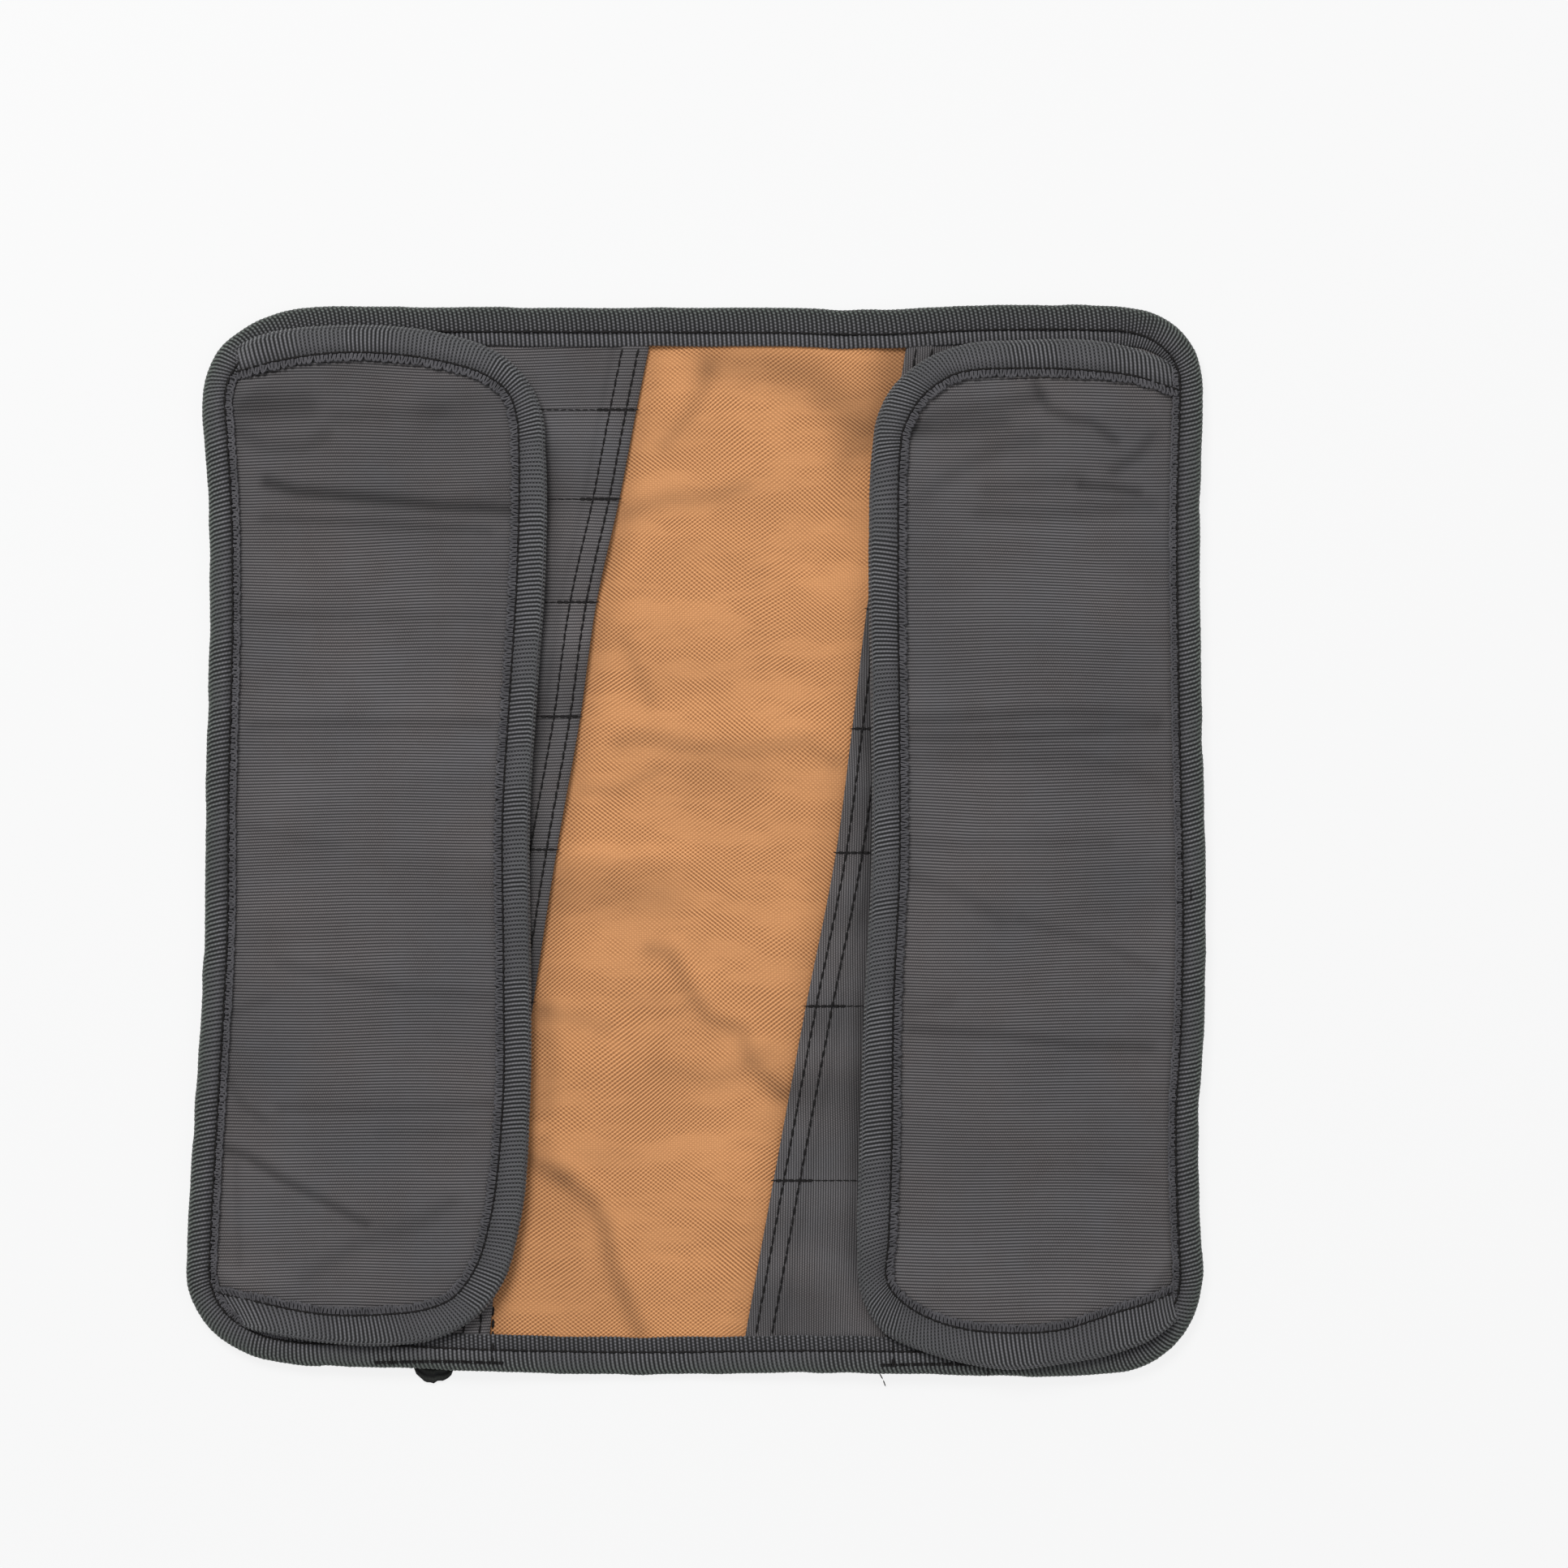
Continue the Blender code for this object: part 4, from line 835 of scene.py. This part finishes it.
FLAP_TAPES = {
    # each row: (outer_x, outer_y, inner_x, inner_y), from the top end round to the bottom end, as shares
    "left": [
        (0.0453, 0.9592, 0.0446, 0.9274), (0.0804, 0.972, 0.0827, 0.9365), (0.136, 0.9788, 0.136, 0.9448),
        (0.2156, 0.9773, 0.2092, 0.944), (0.2633, 0.9697, 0.2538, 0.9372), (0.3111, 0.9508, 0.292, 0.9251),
        (0.3349, 0.9281, 0.3095, 0.9115), (0.3492, 0.8979, 0.3166, 0.8903), (0.3524, 0.8601, 0.3182, 0.8601),
        (0.3524, 0.7542, 0.3166, 0.7542), (0.3445, 0.6407, 0.3095, 0.6407), (0.3373, 0.5272, 0.3023, 0.5272),
        (0.3381, 0.3759, 0.3031, 0.3759), (0.3373, 0.2549, 0.3023, 0.2549), (0.3262, 0.1377, 0.2888, 0.143),
        (0.3119, 0.0908, 0.2768, 0.1067), (0.2896, 0.0613, 0.2601, 0.084), (0.2482, 0.0378, 0.2323, 0.0719),
        (0.2045, 0.031, 0.1981, 0.0681), (0.136, 0.0333, 0.1344, 0.0681), (0.0501, 0.0477, 0.031, 0.0862),
    ],
    "right": [
        (0.9642, 0.9463, 0.969, 0.913), (0.9316, 0.9576, 0.9316, 0.9236), (0.8886, 0.9652, 0.8886, 0.9289),
        (0.8154, 0.9652, 0.8154, 0.9312), (0.7621, 0.9614, 0.7669, 0.9289), (0.7184, 0.944, 0.7422, 0.9191),
        (0.6889, 0.9168, 0.7232, 0.9024), (0.677, 0.8911, 0.712, 0.882), (0.673, 0.8631, 0.7088, 0.8631),
        (0.6698, 0.7799, 0.7064, 0.7693), (0.6722, 0.6089, 0.708, 0.6089), (0.6722, 0.4705, 0.708, 0.4705),
        (0.6659, 0.3548, 0.7025, 0.3548), (0.6603, 0.2012, 0.7001, 0.2012), (0.6587, 0.1188, 0.6969, 0.1263),
        (0.6627, 0.0772, 0.6937, 0.0976), (0.6858, 0.0416, 0.7049, 0.0794), (0.7168, 0.0272, 0.7247, 0.0666),
        (0.7621, 0.0144, 0.7621, 0.0545), (0.8075, 0.0083, 0.8075, 0.0507), (0.8536, 0.0129, 0.8536, 0.053),
        (0.9141, 0.0242, 0.9141, 0.0703), (0.9451, 0.0356, 0.9435, 0.0787), (0.9722, 0.0537, 0.969, 0.0885),
    ],
}


def tape(name, path, pitch, closed, strip_drop, strip_face, slant, knit, edge_reflection, gloom, finish):
    """Sweeps the folded section along its path, with rings close together at each rib, then lifts the ribs.

    The section's points go from the fold's underside round the edge, across the top to the seam and the
    strip inside it, and back between the two layers. Only the first fifteen can be seen.
    """
    s = travelled(path)
    if closed:
        s = np.append(s, s[-1] + np.linalg.norm(path[0, :2] - path[-1, :2]))
        total, path = s[-1], np.vstack([path, path[:1]])
        path = np.vstack([path[-30:-1], path, path[1:30]])
        s = np.concatenate([s[-30:-1] - total, s, s[1:30] + total])
    else:
        total = s[-1]
    ribs = round(total / pitch)
    count = (np.arange(ribs)[:, None] + RIB_PHASES).ravel()
    here = count * total / ribs
    reach, seam, low, high, tip = (np.interp(here, s, column) for column in path[:, REACH:].T)
    low = low + 0.8 * TAPE_RIB_HEIGHT
    high, tip = high - 0.3 * TAPE_RIB_HEIGHT, tip - 0.3 * TAPE_RIB_HEIGHT
    middle, half = (low + high) / 2, (high - low) / 2
    turn = np.radians(ROUND_TURNS)
    none = 0 * here
    edge = TAPE_ROUND + none
    far = [reach, 0.6 * reach, edge]
    far += [edge * (1 - np.cos(a)) for a in turn]
    far += [edge, (edge + seam) / 2, seam - 0.0007, seam, seam + 0.0007, reach - 0.0004, reach]
    far += [reach, seam, none + TAPE_THICKNESS, seam, reach]
    slope = (high - tip) * 0.5
    rise = [low, low, low] + [middle + half * np.sin(a) for a in turn]
    rise += [high, high - 0.3 * slope, high - slope, high - slope - GROOVE, high - slope - strip_drop]
    rise += [tip - strip_drop, tip - strip_drop - 0.0003]
    rise += [tip - TAPE_THICKNESS, high - slope - GROOVE - TAPE_THICKNESS, middle]
    rise += [low + TAPE_THICKNESS, low + TAPE_THICKNESS]
    far, rise = np.stack(far, 1), np.stack(rise, 1)
    lean = slant(here)[:, None] * (far - seam[:, None])
    lean += EDGE_TWIST * (np.minimum(far, EDGE_TURN) - EDGE_TURN)
    lean[:, :5] = 0
    at = (here[:, None] + lean).ravel()
    outer_x, outer_y, in_x, in_y = (np.interp(at, s, column).reshape(far.shape) for column in path[:, :4].T)
    rings = np.stack([outer_x + in_x * far, outer_y + in_y * far, rise], -1)
    run = np.hypot(np.diff(far, axis=1), np.diff(rise, axis=1))
    across = np.hstack([np.zeros((len(far), 1)), np.cumsum(run, axis=1)]) / BEAD
    face = np.zeros(far.shape)
    face[:, :15] = 1.0
    face[:, [0, 11, 12, 13, 14]] = (0.4, 0.4, 0.6, strip_face, strip_face)
    shade = np.zeros(far.shape)
    # painted reflection on the rounded outer edge, strongest at its outermost points
    shade[:, 3:10] = np.array(ROUND_REFLECTION) * edge_reflection
    # painted shade in the strip under the loops and in the groove at the seam, and by the gloom over the tape
    # from just outside the seam inwards
    shade[:, 11:15] = np.array(STRIP_SHADES) * (1 - strip_face)
    shade[:, 11] = STRIP_SHADES[0]
    shade[:, 10:15] = np.minimum(shade[:, 10:15], -gloom(here)[:, None])
    weave = np.stack([count[:, None] + 0 * far, across, shade], -1)
    outer_knit, inner_knit = knit(here)
    knits = np.where(far > seam[:, None], inner_knit[:, None], outer_knit[:, None])
    marks = {"weave": weave.reshape(-1, 3), "face": face.ravel(), "knit": knits.ravel()}
    source = solid(name + "_source", rings.reshape(-1, 3), skin(rings, closed), finish, **marks)
    return grow(name, source, ribs_of, finish, {"Rib Height": TAPE_RIB_HEIGHT, "Unevenness": 0.35})


def set_along(graph, given, pitch, shape, size, facing, twist):
    """Sets a shape at each pitch along the source's lines, facing one way apart from a chance twist."""
    line = graph.add("GeometryNodeMeshToCurve", {"Mesh": given["Source"]})
    spots = graph.add("GeometryNodeResampleCurve", {"Curve": line, "Length": pitch}, mode="LENGTH")
    axes = {"primary_axis": "Z", "secondary_axis": "X"}
    turn = graph.add("FunctionNodeAxesToRotation", {0: (0, 0, 1), 1: facing}, **axes)
    chance = between(graph, given, tuple(-angle for angle in twist), twist)
    chance = graph.add("FunctionNodeEulerToRotation", {0: chance})
    turn = graph.add("FunctionNodeRotateRotation", {0: turn, 1: chance}, rotation_space="LOCAL")
    placed = {"Points": spots, "Instance": shape, "Rotation": turn, "Scale": size}
    return hand_out(graph, given, graph.add("GeometryNodeInstanceOnPoints", placed))


def between(graph, given, low, high):
    """A chance vector for each place, by the tree's seed."""
    ends = {"Min": low, "Max": high, "Seed": given["Seed"]}
    return graph.add("FunctionNodeRandomValue", ends, data_type="FLOAT_VECTOR")


def loop_tree():
    """Sets a small loop of thread at each rib along a path, opening to the path and lying inwards."""
    sizes = [("Pitch", "Float"), ("Reach", "Float"), ("Gap", "Float"), ("Strand", "Float"), ("Seed", "Int")]
    graph, given = grower("Selvedge loops", sizes)
    side = graph.times(given["Gap"], 0.5)
    out = graph.times(given["Reach"], 1.33)
    ends = {}
    for label, x, way, z in (
        ("Start", 0.0, -1.0, 0.0),
        ("Start Handle", out, -1.7, 0.0005),
        ("End Handle", out, 1.7, 0.0005),
        ("End", 0.0, 1.0, 0.0),
    ):
        ends[label] = graph.add("ShaderNodeCombineXYZ", {0: x, 1: graph.times(side, way), 2: z})
    arc = graph.add("GeometryNodeCurvePrimitiveBezierSegment", {"Resolution": 8, **ends})
    strand = graph.add("GeometryNodeCurvePrimitiveCircle", {"Resolution": 5, "Radius": given["Strand"]})
    tube = graph.add("GeometryNodeCurveToMesh", {"Curve": arc, "Profile Curve": strand, "Fill Caps": True})
    inward = graph.add("GeometryNodeInputNamedAttribute", {"Name": "inward"}, data_type="FLOAT_VECTOR")
    size = between(graph, given, (0.86, 0.85, 0.9), (1.06, 1.2, 1.1))
    return set_along(graph, given, given["Pitch"], tube, size, inward, (0.06, 0.1, 0.3))


def polyline(name, rows, **marks):
    """An object of open lines only, one for each row of points, with a mark for each point."""
    mesh = bpy.data.meshes.new(name)
    starts = np.cumsum([0] + [len(row) for row in rows])
    edges = [(i, i + 1) for a, b in zip(starts, starts[1:]) for i in range(a, b - 1)]
    mesh.from_pydata(np.vstack(rows).tolist(), edges, [])
    for label, values in marks.items():
        mark = mesh.attributes.new(label, "FLOAT_VECTOR", "POINT")
        mark.data.foreach_set("vector", np.vstack(values).astype(np.float32).ravel())
    return linked(name, mesh)


def looped_edge(name, rows, inwards, pitch, reach, gap, finish, seed):
    """The loops along a tape, from the line of points where they leave the stitching."""
    flat = [np.column_stack([inward, np.zeros(len(inward))]) for inward in inwards]
    source = polyline(name + "_source", rows, inward=flat)
    sizes = {"Pitch": pitch, "Reach": reach, "Gap": pitch * gap, "Strand": LOOP_STRAND, "Seed": seed}
    made = grow(name, source, loops_of, finish, sizes)
    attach(made, "root")
    return made


def flap_knit(s):
    """Plain ribs with patches where the weave opens to a net of small holes."""
    net = -ease((swell(s, 0 * s, 0.013, 1.0, 51) - 0.45) / 0.2)
    return net, 0.5 * net


def run_on(path, end, length):
    """Carries a path on past one of its ends, straight and level."""
    last, before = (path[0], path[1]) if end == 0 else (path[-1], path[-2])
    way = (last[:2] - before[:2]) / np.linalg.norm(last[:2] - before[:2])
    more = np.repeat(last[None], round(length / 0.001), axis=0)
    more[:, :2] += 0.001 * np.arange(1, len(more) + 1)[:, None] * way
    return np.vstack([more[::-1], path] if end == 0 else [path, more])


def flap_tape(side):
    edges = np.array(FLAP_TAPES[side])
    rows = spline(np.hstack([place(edges[:, :2]), place(edges[:, 2:])]), 0.002)
    outer, across = rows[:, :2], rows[:, 2:] - rows[:, :2]
    width = np.linalg.norm(across, axis=1)
    inward = across / width[:, None]
    seam = width - FLAP_STRIP
    path = measured("flap_binding_" + side, outer, inward, width - STRIP_INSET, seam, False)
    for end, length in zip((0, -1), TUCKS[side]):
        path = run_on(path, end, length)
    s = travelled(path)
    from_end = np.minimum(s, s[-1] - s)
    tuck = 1 - ease((from_end - TUCKS[side][1] + 0.001) / TUCK_BLEND)
    for share, column in ((FACE_SHARE, HIGH), (TIP_SHARE, TIP)):
        x, y = (path[:, :2] + path[:, 2:REACH] * path[:, REACH, None] * share).T
        path[:, column] -= tuck * np.maximum(path[:, column] - under_rim(x, y, TUCK_DROP, TUCK_SLOPE), 0)
    path[:, LOW] = np.minimum(path[:, LOW], path[:, HIGH:].min(1) - 2 * TAPE_THICKNESS)
    name = "flap_tape_" + side

    def lean(s):
        return FLAP_LEAN * INWARD[side] + START_LEAN * np.exp(-s / START_LEAN_LENGTH)

    # painted shade along the flap tape from just outside its seam inwards, the same all along
    def gloom(s):
        return FLAP_GLOOM + 0 * s

    # the flap tapes take a quarter of the painted reflection on their rounded outer edge
    made = tape(name, path, FLAP_RIB, False, STRIP_DROP, 0.0, lean, flap_knit, 0.25, gloom, grey_webbing)
    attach(made, "root")
    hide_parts("flap_binding_" + side)
    start = outer + inward * (seam + LOOP_START)[:, None]
    heights = height_on(hull(made), *start.T)
    there = ~np.isnan(heights)
    start = np.column_stack([start[there], calm(heights[there], 3, False)])
    name, seed = "flap_loops_" + side, 21 + INWARD[side]
    loops = looped_edge(name, [start], [inward[there]], FLAP_RIB, FLAP_LOOP, 0.65, grey_thread, seed)
    return made, outer + inward * seam[:, None], outer + inward * CORD_INSET


def thread_finish(name, light, dark, roughness):
    """Twisted thread: fine slanting strands of light and dark."""
    made, graph, shader = finish(name, roughness, 0.0)
    spot = graph.add("ShaderNodeTexCoord", out=3)
    noise = graph.add("ShaderNodeTexNoise", {"Vector": spot, "Scale": 2500.0, "Detail": 2.0})
    colour = graph.mix(noise, dark, light)
    worn = graph.scaled(colour, blotches(graph, 0.01, 0.8, 1.2))
    dress(graph, shader, worn, noise, 0.00008)
    return made


loops_of = loop_tree()
grey_webbing = webbing("Grey webbing", *TAPE_COLOURS, roughness=0.75, sheen=0.15)
grey_thread = thread_finish("Grey loop thread", *LOOP_COLOURS, roughness=0.8)
flap_tapes = {side: flap_tape(side) for side in INWARD}

# Body tape. The same webbing folded over the whole edge of the body, with both flaps' sides caught under it.
# At the sides its inner edge is looped and wavy, at the top and the bottom it lies flat and shows clean ribs.
BODY_RIB = 0.0015
BODY_LOOP = 0.0021
BODY_LOOP_START = 0.0004
BODY_LOOP_LIFT = 0.0001
BODY_LOOP_FACING = 0.15
BODY_LEAN = -0.09
SIDE_LEAN = -0.12
BODY_GLOOM = 0.75
LOOP_RUNS = [(1, -0.178, 0.163), (-1, -0.166, 0.163)]


def side_share(s):
    """One where the edge faces left or right, none at the top and the bottom."""
    return np.interp(s, rim_s, rim_in[:, 0] ** 2)


def body_lean(s):
    return BODY_LEAN + SIDE_LEAN * side_share(s)


def body_knit(s):
    """Bricks outside the stitching at the top, inside it at the bottom, ribs with small nets elsewhere."""
    net = -0.7 * ease((swell(s, 0 * s, 0.011, 1.0, 52) - 0.5) / 0.2)
    up, down = (np.interp(s, rim_s, np.maximum(sign * rim_in[:, 1], 0) ** 2) for sign in (-1, 1))
    return np.maximum(0.6 * up, 0.1) + (1 - up) * net, 0.05 + 0.4 * down


# painted shade on the inner part of the body tape where it faces left or right, none at the top and the
# bottom
def body_gloom(s):
    return BODY_GLOOM * side_share(s)


# the body tape takes the full painted reflection on its rounded outer edge
shaping = {"slant": body_lean, "knit": body_knit, "edge_reflection": 1.0, "gloom": body_gloom}
body_tape = tape("body_tape", rim_path, BODY_RIB, True, 0.00015, 0.9, finish=grey_webbing, **shaping)
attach(body_tape, "root")
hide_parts("body_binding")
body_tree = hull(body_tape)
loops = []
for sign, foot, head in LOOP_RUNS:
    beside = (sign * rim_in[:, 0] > BODY_LOOP_FACING) & (rim[:, 1] > foot) & (rim[:, 1] < head)
    start = (rim + rim_in * (rim_seam + BODY_LOOP_START)[:, None])[beside]
    start = start[np.argsort(start[:, 1])]
    inward = rim_in[beside][np.argsort(rim[beside][:, 1])]
    loops.append((np.column_stack([start, height_on(body_tree, *start.T) + BODY_LOOP_LIFT]), inward))
starts, inwards = zip(*loops)
side_loops = looped_edge("body_loops", starts, inwards, BODY_RIB, BODY_LOOP, 1.5, grey_thread, 27)

# Stitching. Black thread in lockstitch through every layer: one row along each tape, two along each hem,
# one across between the pockets, ending in a short bar, and a box through each strap at the bottom edge.
STITCH = 0.0034
STITCH_THICK = 0.00062
CORD_THICK = 0.0004
HEM_ROWS = (0.0035, 0.009)
BAR_LENGTH = 0.0125
BAR_SPREAD = 0.00017
STRAP_BAR_SPREAD = 0.0007
DIVIDER_REACH = 0.04
THREAD_STEP = 0.0012
THREAD_LIFT = 0.00008
SHORT_SEAMS = [
    [(0.301, 0.061), (0.301, 0.016)],
    [(0.202, 0.03), (0.202, 0.016)],
    [(0.693, 0.038), (0.693, 0.014)],
]
STRAP_BARS = [
    [(0.309, 0.0135), (0.25, 0.015), (0.188, 0.014)],
    [(0.683, 0.0115), (0.73, 0.0125), (0.774, 0.012)],
]
KNOTS = [
    [(0.9848, 0.447), (0.9848, 0.453)],
    [(0.338, 0.344), (0.34, 0.354)],
    [(0.786, 0.004), (0.787, 0.011)],
]
STRAP_BOXES = [(0.202, 0.301, 0.02, 0.061), (0.693, 0.765, 0.02, 0.055)]
BACK_LEVEL = 0.0004
LOOSE_END = [(0.062411, -0.180144), (0.062967, -0.181534), (0.063801, -0.182924), (0.064635, -0.18487)]
LOOSE_LEVEL = 0.0008
THREAD_COLOURS = ((0.014, 0.012, 0.012, 1), (0.003, 0.0025, 0.0025, 1))


def stitch_tree():
    """Sets one short stitch after another along each line, flat on the cloth and following the line."""
    graph, given = grower("Stitches", [("Length", "Float"), ("Thickness", "Float"), ("Seed", "Int")])
    long, thick = graph.times(given["Length"], 0.56), graph.times(given["Thickness"], 0.5)
    size = graph.add("ShaderNodeCombineXYZ", {0: long, 1: thick, 2: thick})
    stitch = graph.add("GeometryNodeMeshUVSphere", {"Segments": 6, "Rings": 5, "Radius": 1.0})
    tangent = graph.add("GeometryNodeInputTangent")
    return set_along(graph, given, given["Length"], stitch, size, tangent, (0.0, 0.04, 0.09))


def dense(points):
    """A smooth curve through points given as shares of the body, with a point at each step."""
    return spline(place(points), THREAD_STEP)


def laid_on(line, *trees):
    """Lays a line of points on the highest of the pieces below it, evened out along the way."""
    levels = [height_on(tree, *line.T) for tree in trees]
    top = np.fmax.reduce(levels)
    line, top = line[~np.isnan(top)], top[~np.isnan(top)]
    return np.column_stack([line, calm(top, 3, False) + THREAD_LIFT])


flap_trees = {side: hull(flap_tapes[side][0]) for side in INWARD}
pocket_trees = {side: hull(pockets[side]) for side in INWARD}
base_tree = hull(body_cloth)
seams, hems, dividers = [], [], []
for side in INWARD:
    _, seam, _ = flap_tapes[side]
    seams.append(laid_on(seam, flap_trees[side]))
    heights = np.arange(*(place([(0.5, 0.045), (0.5, 0.958)])[:, 1]), 0.002)
    for row in HEM_ROWS:
        line = np.column_stack([mouth_x(side, heights) - INWARD[side] * row, heights])
        hems.append(laid_on(line, pocket_trees[side]))
    for share_y, share_x in MOUTHS[side][1:-1]:
        mouth, height = place((share_x, share_y))
        run = mouth - INWARD[side] * np.arange(0.0002, DIVIDER_REACH, THREAD_STEP)
        dividers.append(laid_on(np.column_stack([run, height + 0 * run]), pocket_trees[side]))
seam = rim + rim_in * rim_seam[:, None]
seams.append(laid_on(np.vstack([seam, seam[:1]]), body_tree))
for line in SHORT_SEAMS:
    seams.append(laid_on(dense(line), body_tree, base_tree, *pocket_trees.values()))
for left, right, foot, head in STRAP_BOXES:
    box = place([(left, head), (left, foot), (right, foot), (right, head), (left, head)])
    for a, b in zip(box, box[1:]):
        line = a + (b - a) * np.linspace(0, 1, 24)[:, None]
        seams.append(np.column_stack([line, np.full(24, BACK_LEVEL)]))
stitches_of = stitch_tree()
black_thread = thread_finish("Black thread", *THREAD_COLOURS, roughness=0.7)
bars = []
for side in INWARD:
    for share_y, share_x in MOUTHS[side][1:-1]:
        mouth, height = place((share_x, share_y))
        run = mouth - INWARD[side] * np.linspace(0.0018, BAR_LENGTH, 14)
        for lift in (-BAR_SPREAD, BAR_SPREAD):
            line = np.column_stack([run, height + lift + 0 * run])
            bars.append(laid_on(line, pocket_trees[side], base_tree))
for lift in (-STRAP_BAR_SPREAD, STRAP_BAR_SPREAD):
    for line in STRAP_BARS:
        bars.append(laid_on(dense([(u, v + lift) for u, v in line]), body_tree))
for line in KNOTS:
    bars.append(laid_on(dense(line), body_tree, base_tree, *flap_trees.values()))
dividers.append(np.array([(x, y, LOOSE_LEVEL) for x, y in LOOSE_END]))
cords = [laid_on(line, flap_trees[side]) for side, (_, _, line) in flap_tapes.items()]


def sewn(name, lines, length, thickness, seed, finish):
    sizes = {"Length": length, "Thickness": thickness, "Seed": seed}
    return grow(name, polyline(name + "_lines", lines), stitches_of, finish, sizes)


stitching = sewn("stitching", seams, STITCH, STITCH_THICK * 1.6, 5, black_thread)
bar_tacks = sewn("bar_tacks", bars, STITCH * 0.6, STITCH_THICK * 1.1, 6, black_thread)
hem_rows = sewn("hem_rows", hems, STITCH, STITCH_THICK * 1.35, 9, black_thread)
divider_rows = sewn("divider_rows", dividers, STITCH * 0.7, STITCH_THICK * 0.75, 8, black_thread)
edge_cords = sewn("edge_cords", cords, FLAP_RIB, CORD_THICK, 7, grey_thread)
for piece in (stitching, hem_rows, bar_tacks, divider_rows, edge_cords):
    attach(piece, "root")

# Studio. The roll lies on a plain white table under wide soft lamps, seen from straight above.
CAMERA_HEIGHT = 2.2
VIEW_WIDTH = 0.5371
VIEW_MIDDLE = (0.0302, 0.0207)
FLOOR_COLOUR = (0.1, 0.1, 0.1, 1)
FLOOR_GLOW = 0.835
FLOOR_HALF = 4
FLOOR_LEVEL = -0.0003
SKY_COLOUR = (0.97, 0.98, 1.0, 1)
SKY_STRENGTH = 0.42
LAMPS = [("Lamp left", (-0.6, 1.1, 1.5), 0.9, 24.0), ("Lamp right", (1.1, -0.2, 1.5), 1.4, 3.0)]

floor_mesh = bpy.data.meshes.new("table")
corners = [(x * FLOOR_HALF, y * FLOOR_HALF, FLOOR_LEVEL) for x, y in ((-1, -1), (1, -1), (1, 1), (-1, 1))]
floor_mesh.from_pydata(corners, [], [(0, 1, 2, 3)])
floor = linked("table", floor_mesh)
white = bpy.data.materials.new("White table")
white.use_nodes = True
table_shader = white.node_tree.nodes["Principled BSDF"]
table_shader.inputs["Base Color"].default_value = FLOOR_COLOUR
table_shader.inputs["Roughness"].default_value = 0.9
table_shader.inputs["Emission Color"].default_value = (1, 1, 1, 1)
table_shader.inputs["Emission Strength"].default_value = FLOOR_GLOW
floor_mesh.materials.append(white)

world = bpy.data.worlds.new("Studio")
world.use_nodes = True
world.node_tree.nodes["Background"].inputs["Color"].default_value = SKY_COLOUR
world.node_tree.nodes["Background"].inputs["Strength"].default_value = SKY_STRENGTH
bpy.context.scene.world = world
for name, where, size, power in LAMPS:
    lamp = bpy.data.lights.new(name, "AREA")
    lamp.shape = "DISK"
    lamp.size = size
    lamp.energy = power
    held = linked(name, lamp)
    held.location = where
    held.rotation_euler = (-held.location).to_track_quat("-Z", "Y").to_euler()

camera = bpy.data.cameras.new("Camera")
camera.sensor_width = 36
camera.lens = 36 * CAMERA_HEIGHT / VIEW_WIDTH
eye = linked("Camera", camera)
eye.location = (*VIEW_MIDDLE, CAMERA_HEIGHT + 0.004)
bpy.context.scene.camera = eye
bpy.context.scene.view_settings.view_transform = "Standard"
